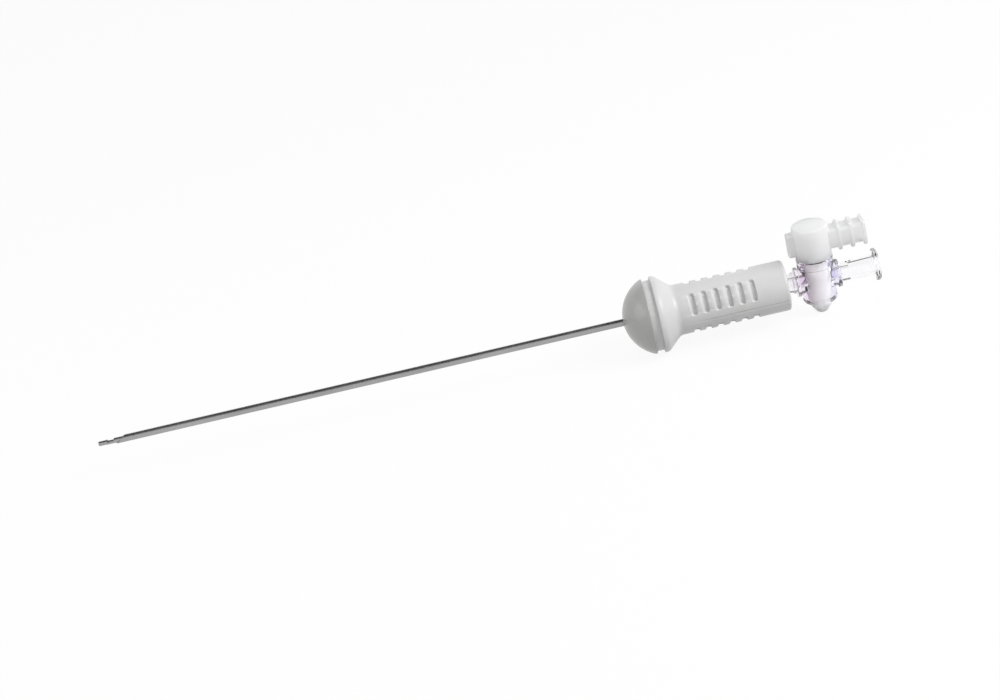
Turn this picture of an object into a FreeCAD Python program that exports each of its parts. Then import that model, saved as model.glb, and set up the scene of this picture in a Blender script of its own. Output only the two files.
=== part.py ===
import FreeCAD, Part
import math
import os
import Sketcher

# Insufflation needle: a spring-loaded blunt stylet inside a bevelled steel cannula, a moulded
# handle in two halves behind a domed nose, and a one-way stopcock at the rear of the stylet.
# The part frame has its origin on the needle axis at the apex of the dome. +X runs along the
# axis to the rear, +Z is the axis of the valve plug, and the sharp point lies at -X.

doc = FreeCAD.newDocument("insufflation_needle")

# Driving dimensions in millimetres and degrees
DRIVING = [
    ("needle_length", 150, "apex of the dome to the sharp point"),
    ("needle_radius", 1.05, "14 gauge cannula, outside"),
    ("needle_bore", 0.85, "radius inside the cannula"),
    ("glue_step", 0.05, "cannula ground down by this where it is glued in"),
    ("bevel_length", 3, "sharp point to the heel of the bevel"),
    ("stylet_reach", 5, "blunt end ahead of the sharp point"),
    ("stylet_radius", 0.75, "outside of the stylet tube"),
    ("stylet_bore", 0.5, "radius of the gas way in the stylet"),
    ("nose_length", 2.4, "solid blunt nose of the stylet"),
    ("nose_radius", 0.68, "blunt nose, a little under the tube"),
    ("nose_round", 0.3, "rounding of the blunt end"),
    ("nose_shank", 0.3, "spigot of the nose inside the tube"),
    ("port_length", 2.3, "side port behind the nose"),
    ("port_floor", 0.1, "height of the port's floor over the axis"),
    ("fit_gap", 0.02, "radial gap of a glued or pressed joint"),
    ("running_gap", 0.05, "radial gap of a sliding or turning fit"),
    ("clear_gap", 0.3, "radial gap of parts that never rub"),
    ("stop_gap", 0.1, "gap left at a stop"),
    ("dome_depth", 7.7, "apex of the dome to its rim"),
    ("dome_wall", 1.6, "wall of the dome"),
    ("dome_edge", 0.55, "rounding of the dome's rim"),
    ("boss_radius", 4.6, "boss inside the dome"),
    ("boss_end", 9, "rear face of the boss"),
    ("groove_width", 2.1, "gap between dome rim and bell"),
    ("groove_depth", 0.9, "step from the dome's rim down to its neck"),
    ("spigot_step", 0.5, "shoulder of the neck that meets the bell"),
    ("spigot_length", 1.5, "neck inside the bell"),
    ("spigot_wall", 1.4, "wall of that spigot"),
    ("bell_radius", 11.05, "front rim of the bell and rim of the dome"),
    ("bell_land", 0.3, "straight land behind the bell's rim"),
    ("bell_edge", 0.25, "rounding of the bell's front edge"),
    ("crown_radius", 2.5, "convex bend of the bell"),
    ("hollow_radius", 2.5, "concave bend into the barrel"),
    ("bell_slope", 43, "slope of the bell, degrees"),
    ("barrel_radius", 7.25, "cylindrical grip"),
    ("barrel_wall", 1.6, "wall of the grip"),
    ("barrel_end", 47.3, "rear face of the handle"),
    ("barrel_edge", 0.8, "rounding of the rear edge"),
    ("handle_turn", 15, "turn of the handle about the needle, degrees"),
    ("slot_first", 19.9, "first thumb slot"),
    ("slot_pitch", 3.45, "step from slot to slot"),
    ("slot_count", 6, "slots in a row"),
    ("slot_width", 1.9, "width of a slot along the axis"),
    ("slot_depth", 0.85, "depth of a slot"),
    ("slot_ramp", 0.7, "run of a slot's sloping front wall"),
    ("slot_span", 54, "arc of a slot, degrees"),
    ("slot_corner", 0.6, "rounding of a slot's ends"),
    ("row_turn", 45, "slot row to the middle of its half, degrees"),
    ("seam_front", 24.5, "front end of the groove along the parting line"),
    ("seam_edge", 0.2, "bevel of each half along that groove"),
    ("bulkhead_wall", 1.6, "inner wall that holds the cannula hub"),
    ("bulkhead_depth", 1.6, "bell rim to the bulkhead"),
    ("cone_length", 3.5, "inner taper behind the bulkhead"),
    ("cone_rise", 1.35, "height of that taper"),
    ("hub_spigot", 3, "radius of the cannula hub in the dome"),
    ("hub_flange", 5.2, "radius of its captured flange"),
    ("hub_socket", 3.6, "radius of its rear socket"),
    ("socket_length", 5.6, "rear socket behind the bulkhead's front"),
    ("seal_cord", 0.5, "radius of the O-ring's section"),
    ("retainer_radius", 2.4, "gland ring behind the O-ring"),
    ("retainer_length", 2, "gland ring"),
    ("stop_ring_front", 18.2, "forward stop ring in the shells"),
    ("stop_ring_width", 1.6, "forward stop ring"),
    ("stop_ring_bore", 4.6, "bore of the stop ring"),
    ("travel", 7, "spring-loaded travel of the stylet"),
    ("carriage_nose", 2.2, "radius of the carriage ahead of its flange"),
    ("nose_reach", 2.5, "that nose ahead of the flange"),
    ("carriage_flange", 2, "thickness of the carriage flange"),
    ("tail_radius", 3.2, "sliding tail of the carriage"),
    ("shoulder_step", 0.4, "stop shoulder over the tail"),
    ("tail_end", 46.2, "rear face of the carriage"),
    ("stylet_seat", 10, "stylet tube behind the carriage flange's front"),
    ("spring_wire", 0.3, "radius of the spring wire"),
    ("spring_turns", 7, "turns of the return spring"),
    ("spring_gap", 0.2, "radial gap of the spring round the shoulder"),
    ("bush_length", 5, "guide bush at the rear"),
    ("bush_recess", 0.7, "handle's rear face to the bush"),
    ("bush_collar", 1.4, "collar of the bush in its groove"),
    ("collar_height", 0.4, "collar over the bush"),
    ("plug_axis", 56.3, "axis of the valve plug from the apex"),
    ("body_radius", 4.9, "stopcock body"),
    ("body_bottom", 6.8, "needle axis down to the body's floor"),
    ("body_top", 6.5, "needle axis up to the body's rim"),
    ("body_round", 0.9, "rounding under the body"),
    ("floor_wall", 1.2, "floor of the stopcock body"),
    ("rim_radius", 5.2, "collar at the top of the body"),
    ("rim_height", 2.4, "height of that collar"),
    ("arm_radius", 2.75, "front arm and inlet tube"),
    ("ring_radius", 3.1, "small ring on the front arm"),
    ("ring_place", 7.05, "plug axis to the small ring"),
    ("ring_width", 0.6, "width of the small ring"),
    ("front_disc", 4.25, "radius of the front disc"),
    ("front_place", 5.85, "plug axis to the front disc"),
    ("rear_disc", 4, "radius of the rear disc"),
    ("rear_place", 5.85, "plug axis to the rear disc"),
    ("disc_width", 1, "width of both discs"),
    ("disc_edge", 0.2, "rounding of the discs and the inlet flange"),
    ("gas_way", 1.2, "radius of the gas way in the stopcock"),
    ("cone_end", 17.3, "plug axis to the front of the male cone"),
    ("cone_seat", 10, "plug axis to the rear of the male cone"),
    ("cone_radius", 2, "male cone at its front"),
    ("taper", 0.03, "radius gained for each unit of length, a 6 percent taper"),
    ("inlet_end", 17.45, "plug axis to the inlet's rear face"),
    ("inlet_mouth", 2.15, "radius of the inlet bore at its mouth"),
    ("inlet_land", 1.5, "straight mouth of the inlet bore"),
    ("inlet_depth", 8.5, "depth of the inlet bore with its taper"),
    ("inlet_flange", 4.6, "radius of the inlet flange"),
    ("flange_width", 1.3, "thickness of the inlet flange"),
    ("plug_radius", 3.38, "valve plug"),
    ("plug_neck", 2.55, "neck of the plug through the floor"),
    ("snap_step", 0.4, "snap lip over the neck"),
    ("snap_length", 3.4, "snap cone below the floor"),
    ("snap_land", 1.3, "straight part of the snap cone"),
    ("snap_end", 1.5, "radius at the bottom of the snap cone"),
    ("cap_gap", 0.2, "body rim to the cap"),
    ("cap_radius", 5.1, "cap of the lever"),
    ("cap_top", 16.5, "needle axis to the top of the cap"),
    ("cap_round", 0.5, "rounding of the cap's top edge"),
    ("arm_middle", 11.6, "needle axis to the middle of the lever arm"),
    ("arm_height", 5.9, "height of the lever arm"),
    ("arm_width", 5.2, "width of the lever arm"),
    ("arm_round", 1, "rounding along the lever arm"),
    ("arm_end", 15.2, "plug axis to the end of the lever arm"),
    ("rib_height", 7.9, "height of a grip rib"),
    ("rib_breadth", 5.6, "breadth of a grip rib across the arm"),
    ("rib_width", 1.1, "width of a grip rib along the arm"),
    ("rib_pitch", 3.55, "step from rib to rib"),
    ("rib_count", 3, "grip ribs"),
    ("rib_round", 1.4, "rounding of a grip rib's corners"),
    ("wing_reach", 6.9, "plug axis to the tip of the front wing"),
    ("wing_height", 6.8, "height of the front wing"),
    ("wing_width", 3.2, "width of the front wing"),
    ("wing_round", 0.7, "rounding of the front wing"),
    ("lug_height", 1, "stop lug on the body's rim"),
    ("lug_span", 20, "arc of the stop lug, degrees"),
    ("lug_inner", 3.9, "inner radius of the stop lug"),
    ("lug_outer", 4.6, "outer radius of the stop lug"),
    ("lug_turn", 225, "middle of the stop lug with the valve open, degrees"),
    ("lever_range", 90, "turn of the lever, degrees"),
    ("lug_slack", 1, "slack of the lug at each end of its track, degrees"),
]

# Places worked out from the driving dimensions
DERIVED = [
    ("dome_radius", "=bell_radius", "rim of the dome, level with the bell"),
    ("dome_sphere", "=(dome_radius^2 + dome_depth^2) / (2 * dome_depth)", "radius of the dome"),
    ("dome_inside", "=dome_sphere - dome_wall", "radius inside the dome"),
    ("needle_hole", "=needle_radius + fit_gap", "hole for the cannula"),
    ("hub_front", "=dome_wall + 0.5", "front face of the cannula hub's seat"),
    ("bell_front", "=dome_depth + groove_width", "front face of the bell"),
    ("neck_radius", "=dome_radius - groove_depth", "neck between dome and bell"),
    ("rim_round", "=min(dome_edge; 0.9 * groove_depth * dome_depth / dome_radius)",
     "rounding of the rim, kept within the step behind it"),
    ("spigot_radius", "=neck_radius - spigot_step", "neck inside the bell"),
    ("spigot_end", "=bell_front + spigot_length", "rear of the neck"),
    ("spigot_bore", "=spigot_radius - spigot_wall", "inside of the neck"),
    ("slope_drop", "=bell_radius - barrel_radius - (crown_radius + hollow_radius)"
     " * (1 - cos(bell_slope))", "height of the straight slope"),
    ("crown_start", "=bell_front + bell_land", "start of the convex bend"),
    ("crown_end", "=crown_start + crown_radius * sin(bell_slope)", "end of the convex bend"),
    ("crown_foot", "=bell_radius - crown_radius * (1 - cos(bell_slope))", "radius there"),
    ("hollow_start", "=crown_end + slope_drop / tan(bell_slope)", "start of the concave bend"),
    ("hollow_head", "=crown_foot - slope_drop", "radius there"),
    ("hollow_end", "=hollow_start + hollow_radius * sin(bell_slope)", "front of the barrel"),
    ("shell_bore", "=barrel_radius - barrel_wall", "inside of the barrel"),
    ("bulkhead_front", "=bell_front + bulkhead_depth", "front of the bulkhead"),
    ("bulkhead_rear", "=bulkhead_front + bulkhead_wall", "rear of the bulkhead"),
    ("bulkhead_bore", "=hub_socket + fit_gap", "hole in the bulkhead"),
    ("cone_rear", "=bulkhead_rear + cone_length", "end of the inner taper"),
    ("stop_ring_rear", "=stop_ring_front + stop_ring_width", "face that stops the carriage"),
    ("bush_rear", "=barrel_end - bush_recess", "rear face of the guide bush"),
    ("bush_front", "=bush_rear - bush_length", "front face of the guide bush"),
    ("bush_radius", "=shell_bore - fit_gap", "outside of the bush"),
    ("bush_bore", "=tail_radius + running_gap", "bore of the bush"),
    ("collar_front", "=bush_front + (bush_length - bush_collar) / 2", "collar of the bush"),
    ("collar_rear", "=collar_front + bush_collar", "collar of the bush"),
    ("collar_radius", "=bush_radius + collar_height", "collar of the bush"),
    ("socket_end", "=bulkhead_front + socket_length", "rear of the cannula hub"),
    ("seal_bore", "=stylet_radius + fit_gap", "inside of the O-ring"),
    ("seal_front", "=bulkhead_front + 1", "front of the O-ring's seat"),
    ("seal_rear", "=seal_front + 2 * seal_cord + fit_gap", "rear of the O-ring's seat"),
    ("seal_seat", "=seal_bore + 2 * seal_cord + fit_gap", "seat of the O-ring"),
    ("flange_front", "=stop_ring_rear + stop_gap", "front of the carriage flange"),
    ("flange_rear", "=flange_front + carriage_flange", "rear of the carriage flange"),
    ("carriage_radius", "=shell_bore - clear_gap", "carriage flange"),
    ("shoulder_radius", "=tail_radius + shoulder_step", "stop shoulder"),
    ("shoulder_end", "=bush_front - travel - stop_gap", "rear of the stop shoulder"),
    ("stylet_rear", "=flange_front + stylet_seat", "rear end of the stylet tube"),
    ("stylet_front", "=nose_length - needle_length - stylet_reach", "front of the stylet tube"),
    ("spring_radius", "=shoulder_radius + spring_gap + spring_wire", "mean radius of the spring"),
    ("spring_height", "=bush_front - flange_rear - 2 * spring_wire - 2 * fit_gap", "wire centres"),
    ("spring_pitch", "=spring_height / spring_turns", "rise of one turn"),
    ("cone_rear_radius", "=cone_radius + taper * (cone_end - cone_seat)", "male cone, rear"),
    ("socket_mouth", "=cone_rear_radius + fit_gap", "female cone at the carriage's rear"),
    ("cone_front", "=plug_axis - cone_end", "front of the male cone"),
    ("cone_front_socket", "=cone_radius + fit_gap", "female cone at its bottom"),
    ("inlet_foot", "=inlet_mouth - taper * (inlet_depth - inlet_land)", "inlet bore at its bottom"),
    ("plug_bore", "=plug_radius + running_gap", "bore of the stopcock body"),
    ("neck_bore", "=plug_neck + running_gap", "hole in the body's floor"),
    ("floor_top", "=floor_wall - body_bottom", "inside of the floor"),
    ("snap_top", "=0 - body_bottom - stop_gap", "snap lip under the floor"),
    ("snap_radius", "=plug_neck + snap_step", "radius of the snap lip"),
    ("snap_bottom", "=snap_top - snap_length", "bottom of the snap cone"),
    ("snap_bend", "=snap_top - snap_land", "top of its slope"),
    ("cap_bottom", "=body_top + cap_gap", "underside of the cap"),
    ("rib_first", "=arm_end - rib_width / 2 - rib_pitch * (rib_count - 1)", "first grip rib"),
]

sheet = doc.addObject("Spreadsheet::Sheet", "dim")
for row, (alias, content, note) in enumerate(DRIVING + DERIVED, start=1):
    sheet.set(f"A{row}", alias)
    sheet.set(f"B{row}", str(content))
    sheet.setAlias(f"B{row}", alias)
    sheet.set(f"C{row}", note)
doc.recompute()


def value(expression):
    """Number that an expression of the sheet's names has now."""
    return float(sheet.evalExpression(str(expression)))


def new_body(label):
    body = doc.addObject("PartDesign::Body", label)
    body.Label = label
    return body


def origin_feature(body, role):
    """Plane or axis of a body's own origin, such as XZ_Plane or X_Axis."""
    return next(item for item in body.Origin.OriginFeatures if item.Role == role)


def new_sketch(body, name, plane, lift=None, turn=0):
    """Sketch on an origin plane, lifted off it by an expression or turned about its own x."""
    sketch = body.newObject("Sketcher::SketchObject", name)
    sketch.AttachmentSupport = (origin_feature(body, plane), "")
    sketch.MapMode = "FlatFace"
    sketch.AttachmentOffset = FreeCAD.Placement(
        FreeCAD.Vector(), FreeCAD.Rotation(FreeCAD.Vector(1, 0, 0), turn))
    if lift is not None:
        sketch.setExpression("AttachmentOffset.Base.z", lift)
    return sketch


def hold(sketch, kind, first, expression):
    """Dimension a geometry or a point of the sketch by an expression."""
    index = sketch.addConstraint(Sketcher.Constraint(kind, *first, value(expression)))
    sketch.setExpression(f"Constraints[{index}]", str(expression))


def hold_point(sketch, geometry, end, across, up):
    """Dimension a point from the sketch's origin, or put it on an axis."""
    for kind, axis, expression in (("DistanceX", -2, across), ("DistanceY", -1, up)):
        if expression == "0":
            sketch.addConstraint(Sketcher.Constraint("PointOnObject", geometry, end, axis))
        else:
            hold(sketch, kind, (-1, 1, geometry, end), expression)


def arc_between(start, end, radius, side):
    """Arc from start to end that bulges to the left of the way (side 1) or the right (-1)."""
    chord = end - start
    middle = (start + end) / 2
    left = FreeCAD.Vector(-chord.y, chord.x, 0).normalize()
    rise = radius - math.sqrt(max(radius ** 2 - (chord.Length / 2) ** 2, 0))
    return Part.Arc(start, middle + left * rise * side, end)


def outline(sketch, corners, bends=None):
    """Closed outline through corners given as pairs of expressions.

    bends maps the index of a corner to the radius and side of the arc that follows it.
    """
    bends = bends or {}
    places = [FreeCAD.Vector(value(across), value(up), 0) for across, up in corners]
    starts = []
    for index, place in enumerate(places):
        after = places[(index + 1) % len(places)]
        if index in bends:
            radius, side = bends[index]
            geometry = sketch.addGeometry(arc_between(place, after, value(radius), side))
            forward = sketch.getPoint(geometry, 1).distanceToPoint(place) < 1e-6
            starts.append((1, 2) if forward else (2, 1))
        else:
            sketch.addGeometry(Part.LineSegment(place, after))
            starts.append((1, 2))
    for index, (across, up) in enumerate(corners):
        before = (index - 1) % len(corners)
        sketch.addConstraint(Sketcher.Constraint(
            "Coincident", before, starts[before][1], index, starts[index][0]))
        hold_point(sketch, index, starts[index][0], across, up)
    for index, (radius, side) in bends.items():
        hold(sketch, "Radius", (index,), radius)


def circle(sketch, radius, across="0", up="0"):
    centre = FreeCAD.Vector(value(across), value(up), 0)
    geometry = sketch.addGeometry(Part.Circle(centre, FreeCAD.Vector(0, 0, 1), value(radius)))
    hold_point(sketch, geometry, 3, across, up)
    hold(sketch, "Radius", (geometry,), radius)


def rectangle(sketch, left, right, low, high):
    outline(sketch, [(left, low), (right, low), (right, high), (left, high)])


def revolve(body, name, sketch, axis="H_Axis", angle="360", cut=False):
    """Turn a sketch about one of its own axes, evenly to both sides of its plane."""
    kind = "PartDesign::Groove" if cut else "PartDesign::Revolution"
    feature = body.newObject(kind, name)
    feature.Profile = sketch
    feature.ReferenceAxis = (sketch, [axis])
    feature.Midplane = True
    feature.setExpression("Angle", angle)
    return settle(feature, cut)


def extrude(body, name, sketch, length, cut=False, back=False, both=False):
    """Pad or pocket a sketch along its normal, or against it."""
    kind = "PartDesign::Pocket" if cut else "PartDesign::Pad"
    feature = body.newObject(kind, name)
    feature.Profile = sketch
    feature.Reversed = back
    feature.Midplane = both
    feature.setExpression("Length", length)
    return settle(feature, cut)


def settle(feature, cut):
    """Recompute a feature and make sure that it really added or removed material."""
    doc.recompute()
    base = feature.BaseFeature
    before = base.Shape.Volume if base else 0
    change = feature.Shape.Volume - before
    if (change > -1e-6) if cut else (change < 1e-6):
        raise RuntimeError(f"{feature.Label} changed the volume by {change:.4f}")
    return feature


def soften(body, name, test, size, chamfer=False):
    """Round or chamfer the edges of the body's last feature that pass a test."""
    base = body.Tip
    names = [f"Edge{number}" for number, edge in enumerate(base.Shape.Edges, start=1) if test(edge)]
    if not names:
        raise RuntimeError(f"{name} found no edge")
    feature = body.newObject("PartDesign::Chamfer" if chamfer else "PartDesign::Fillet", name)
    feature.Base = (base, names)
    feature.setExpression("Size" if chamfer else "Radius", size)
    doc.recompute()
    return feature


def near(number, expression, slack=1e-4):
    return abs(number - value(expression)) < slack


def ring_edge(radius, along, axis="x"):
    """Test for a round edge of a radius, at a place along an axis."""
    def test(edge):
        if edge.Curve.TypeId != "Part::GeomCircle" or not near(edge.Curve.Radius, radius):
            return False
        centre = edge.Curve.Center
        sideways = abs(getattr(edge.Curve.Axis, axis)) > 0.999
        return sideways and near(getattr(centre, axis), along)
    return test


def make_needle_cannula():
    """Steel tube with its bevel open upwards and the sharp point at the bottom."""
    body = new_body("needle_cannula")
    sketch = new_sketch(body, "cannula_wall", "XZ_Plane")
    glued = "dim.needle_radius - dim.glue_step"
    outline(sketch, [
        ("0 - dim.needle_length", "dim.needle_bore"),
        ("0 - dim.needle_length", "dim.needle_radius"),
        ("0", "dim.needle_radius"),
        ("dim.dome_wall", glued),
        ("dim.seal_front", glued),
        ("dim.seal_front", "dim.needle_bore"),
    ])
    revolve(body, "cannula_tube", sketch)
    ground = new_sketch(body, "bevel_line", "XZ_Plane")
    outline(ground, [
        ("0 - dim.needle_length - dim.bevel_length", "0 - dim.needle_radius"),
        ("0 - dim.needle_length", "0 - dim.needle_radius"),
        ("dim.bevel_length - dim.needle_length", "dim.needle_radius"),
        ("dim.bevel_length - dim.needle_length", "2 * dim.needle_radius"),
        ("0 - dim.needle_length - dim.bevel_length", "2 * dim.needle_radius"),
    ])
    extrude(body, "bevel", ground, "4 * dim.needle_radius", cut=True, both=True)
    return body


def make_stylet_tube():
    """Gas tube of the stylet with the side port in its upper wall."""
    body = new_body("stylet_tube")
    sketch = new_sketch(body, "tube_wall", "XZ_Plane")
    rectangle(sketch, "dim.stylet_front", "dim.stylet_rear", "dim.stylet_bore", "dim.stylet_radius")
    revolve(body, "tube", sketch)
    port = new_sketch(body, "port_outline", "XZ_Plane")
    port_start = "dim.stylet_front + dim.nose_shank + dim.fit_gap"
    outline(port, [
        (port_start, "dim.port_floor"),
        (f"{port_start} + dim.port_length - dim.stylet_radius / 2", "dim.port_floor"),
        (f"{port_start} + dim.port_length", "2 * dim.stylet_radius"),
        (port_start, "2 * dim.stylet_radius"),
    ])
    extrude(body, "side_port", port, "4 * dim.stylet_radius", cut=True, both=True)
    return body


def make_stylet_tip():
    """Blunt nose that closes the stylet, with a short shank inside the tube."""
    body = new_body("stylet_tip")
    sketch = new_sketch(body, "nose_profile", "XZ_Plane")
    front = "0 - dim.needle_length - dim.stylet_reach"
    outline(sketch, [
        (front, "0"),
        (front, "dim.nose_radius"),
        ("dim.stylet_front", "dim.nose_radius"),
        ("dim.stylet_front", "dim.stylet_bore - dim.fit_gap"),
        ("dim.stylet_front + dim.nose_shank", "dim.stylet_bore - dim.fit_gap"),
        ("dim.stylet_front + dim.nose_shank", "0"),
    ])
    revolve(body, "nose", sketch)
    soften(body, "blunt_end", ring_edge("dim.nose_radius", front), "dim.nose_round")
    return body


def make_dome_nose():
    """Domed front cap with its neck, the spigot into the bell and the boss for the hub."""
    body = new_body("dome_nose")
    sketch = new_sketch(body, "dome_profile", "XZ_Plane")
    apex = "dim.dome_sphere - sqrt(dim.dome_sphere^2 - dim.needle_hole^2)"
    inside_neck = "dim.dome_sphere - sqrt(dim.dome_inside^2 - dim.spigot_bore^2)"
    inside_boss = "dim.dome_sphere - sqrt(dim.dome_inside^2 - dim.boss_radius^2)"
    hub_bore = "dim.hub_spigot + dim.fit_gap"
    outline(sketch, [
        (apex, "dim.needle_hole"),
        ("dim.dome_depth", "dim.dome_radius"),
        ("dim.dome_depth", "dim.neck_radius"),
        ("dim.bell_front", "dim.neck_radius"),
        ("dim.bell_front", "dim.spigot_radius"),
        ("dim.spigot_end", "dim.spigot_radius"),
        ("dim.spigot_end", "dim.spigot_bore"),
        (inside_neck, "dim.spigot_bore"),
        (inside_boss, "dim.boss_radius"),
        ("dim.boss_end", "dim.boss_radius"),
        ("dim.boss_end", hub_bore),
        ("dim.hub_front", hub_bore),
        ("dim.hub_front", "dim.needle_hole"),
    ], bends={0: ("dim.dome_sphere", 1), 7: ("dim.dome_inside", -1)})
    revolve(body, "dome", sketch)
    soften(body, "rim_edge", ring_edge("dim.dome_radius", "dim.dome_depth"), "dim.rim_round")
    return body


def make_cannula_hub():
    """Hub on the rear of the cannula: spigot in the dome, captured flange, seal socket."""
    body = new_body("cannula_hub")
    sketch = new_sketch(body, "hub_profile", "XZ_Plane")
    gland = "dim.retainer_radius + dim.fit_gap"
    outline(sketch, [
        ("dim.hub_front", "dim.needle_hole"),
        ("dim.hub_front", "dim.hub_spigot"),
        ("dim.boss_end", "dim.hub_spigot"),
        ("dim.boss_end", "dim.hub_flange"),
        ("dim.bulkhead_front", "dim.hub_flange"),
        ("dim.bulkhead_front", "dim.hub_socket"),
        ("dim.socket_end", "dim.hub_socket"),
        ("dim.socket_end", gland),
        ("dim.seal_rear", gland),
        ("dim.seal_rear", "dim.seal_seat"),
        ("dim.seal_front", "dim.seal_seat"),
        ("dim.seal_front", "dim.needle_hole"),
    ])
    revolve(body, "hub", sketch)
    return body


def make_seal_retainer():
    """Gland ring pressed into the hub's socket behind the O-ring."""
    body = new_body("seal_retainer")
    sketch = new_sketch(body, "gland_profile", "XZ_Plane")
    rectangle(sketch, "dim.seal_rear", "dim.seal_rear + dim.retainer_length",
              "dim.stylet_radius + dim.running_gap", "dim.retainer_radius")
    revolve(body, "gland", sketch)
    return body


def make_stylet_seal():
    """O-ring round the stylet."""
    ring = doc.addObject("Part::Torus", "stylet_seal")
    ring.Label = "stylet_seal"
    ring.setExpression("Radius1", "dim.seal_bore + dim.seal_cord")
    ring.setExpression("Radius2", "dim.seal_cord")
    ring.Placement = FreeCAD.Placement(FreeCAD.Vector(), FreeCAD.Rotation(FreeCAD.Vector(0, 1, 0), 90))
    ring.setExpression("Placement.Base.x", "dim.seal_front + dim.seal_cord + dim.fit_gap / 2")
    return ring


def make_shell(label, turn):
    """One moulded half of the handle, modelled with its middle upwards and then turned."""
    body = new_body(label)
    sketch = new_sketch(body, f"{label}_profile", "XZ_Plane")
    outline(sketch, [
        ("dim.bell_front", "dim.spigot_radius + dim.fit_gap"),
        ("dim.bell_front", "dim.bell_radius"),
        ("dim.crown_start", "dim.bell_radius"),
        ("dim.crown_end", "dim.crown_foot"),
        ("dim.hollow_start", "dim.hollow_head"),
        ("dim.hollow_end", "dim.barrel_radius"),
        ("dim.barrel_end - dim.barrel_edge", "dim.barrel_radius"),
        ("dim.barrel_end", "dim.barrel_radius - dim.barrel_edge"),
        ("dim.barrel_end", "dim.shell_bore"),
        ("dim.collar_rear + dim.fit_gap", "dim.shell_bore"),
        ("dim.collar_rear + dim.fit_gap", "dim.collar_radius + dim.fit_gap"),
        ("dim.collar_front - dim.fit_gap", "dim.collar_radius + dim.fit_gap"),
        ("dim.collar_front - dim.fit_gap", "dim.shell_bore"),
        ("dim.stop_ring_rear", "dim.shell_bore"),
        ("dim.stop_ring_rear", "dim.stop_ring_bore"),
        ("dim.stop_ring_front", "dim.stop_ring_bore"),
        ("dim.stop_ring_front", "dim.shell_bore"),
        ("dim.cone_rear", "dim.shell_bore"),
        ("dim.bulkhead_rear", "dim.shell_bore + dim.cone_rise"),
        ("dim.bulkhead_rear", "dim.bulkhead_bore"),
        ("dim.bulkhead_front", "dim.bulkhead_bore"),
        ("dim.bulkhead_front", "dim.spigot_radius + dim.fit_gap"),
    ], bends={2: ("dim.crown_radius", 1), 4: ("dim.hollow_radius", -1), 6: ("dim.barrel_edge", 1)})
    revolve(body, f"{label}_wall", sketch, angle="180")
    for side in (-1, 1):
        slot = new_sketch(body, f"{label}_slot_{'left' if side < 0 else 'right'}", "XZ_Plane",
                          turn=side * value("dim.row_turn"))
        outline(slot, [
            ("dim.slot_first - dim.slot_width / 2 + dim.slot_ramp", "dim.barrel_radius - dim.slot_depth"),
            ("dim.slot_first + dim.slot_width / 2", "dim.barrel_radius - dim.slot_depth"),
            ("dim.slot_first + dim.slot_width / 2", "dim.barrel_radius + dim.slot_depth"),
            ("dim.slot_first - dim.slot_width / 2 - dim.slot_ramp", "dim.barrel_radius + dim.slot_depth"),
        ])
        groove = revolve(body, slot.Label.replace("slot", "groove"), slot, angle="dim.slot_span", cut=True)
        row = body.newObject("PartDesign::LinearPattern", slot.Label.replace("slot", "row"))
        row.Originals = [groove]
        row.Direction = (origin_feature(body, "X_Axis"), [""])
        row.Mode = "Spacing"
        row.setExpression("Offset", "dim.slot_pitch")
        row.setExpression("Occurrences", "dim.slot_count")
        body.Tip = row
        doc.recompute()
        seam = new_sketch(body, f"{label}_seam_{'left' if side < 0 else 'right'}", "YZ_Plane",
                          lift="dim.seam_front")
        outline(seam, [
            (f"{side} * (dim.barrel_radius - dim.seam_edge)", "0"),
            (f"{side} * (dim.barrel_radius + dim.seam_edge)", "0"),
            (f"{side} * (dim.barrel_radius + dim.seam_edge)", "2 * dim.seam_edge"),
        ])
        extrude(body, seam.Label.replace("seam", "bevel"), seam, "dim.barrel_end", cut=True, back=True)
    floor = value("dim.barrel_radius - dim.slot_depth")

    def slot_corner(edge):
        if edge.Curve.TypeId != "Part::GeomLine" or not near(edge.Length, "dim.slot_depth", 0.01):
            return False
        ends = sorted(math.hypot(vertex.Y, vertex.Z) for vertex in edge.Vertexes)
        return abs(ends[0] - floor) < 0.01 and abs(edge.Curve.Direction.x) < 0.01

    soften(body, f"{label}_slot_ends", slot_corner, "dim.slot_corner")
    soften(body, f"{label}_front_edge", ring_edge("dim.bell_radius", "dim.bell_front"), "dim.bell_edge")
    body.Placement = FreeCAD.Placement(FreeCAD.Vector(), FreeCAD.Rotation(FreeCAD.Vector(1, 0, 0), turn))
    return body


def make_rear_bush():
    """Guide bush that the carriage slides in, and the spring's rear seat."""
    body = new_body("rear_bush")
    sketch = new_sketch(body, "bush_profile", "XZ_Plane")
    outline(sketch, [
        ("dim.bush_front", "dim.bush_bore"),
        ("dim.bush_front", "dim.bush_radius"),
        ("dim.collar_front", "dim.bush_radius"),
        ("dim.collar_front", "dim.collar_radius"),
        ("dim.collar_rear", "dim.collar_radius"),
        ("dim.collar_rear", "dim.bush_radius"),
        ("dim.bush_rear", "dim.bush_radius"),
        ("dim.bush_rear", "dim.bush_bore"),
    ])
    revolve(body, "bush", sketch)
    return body


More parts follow.
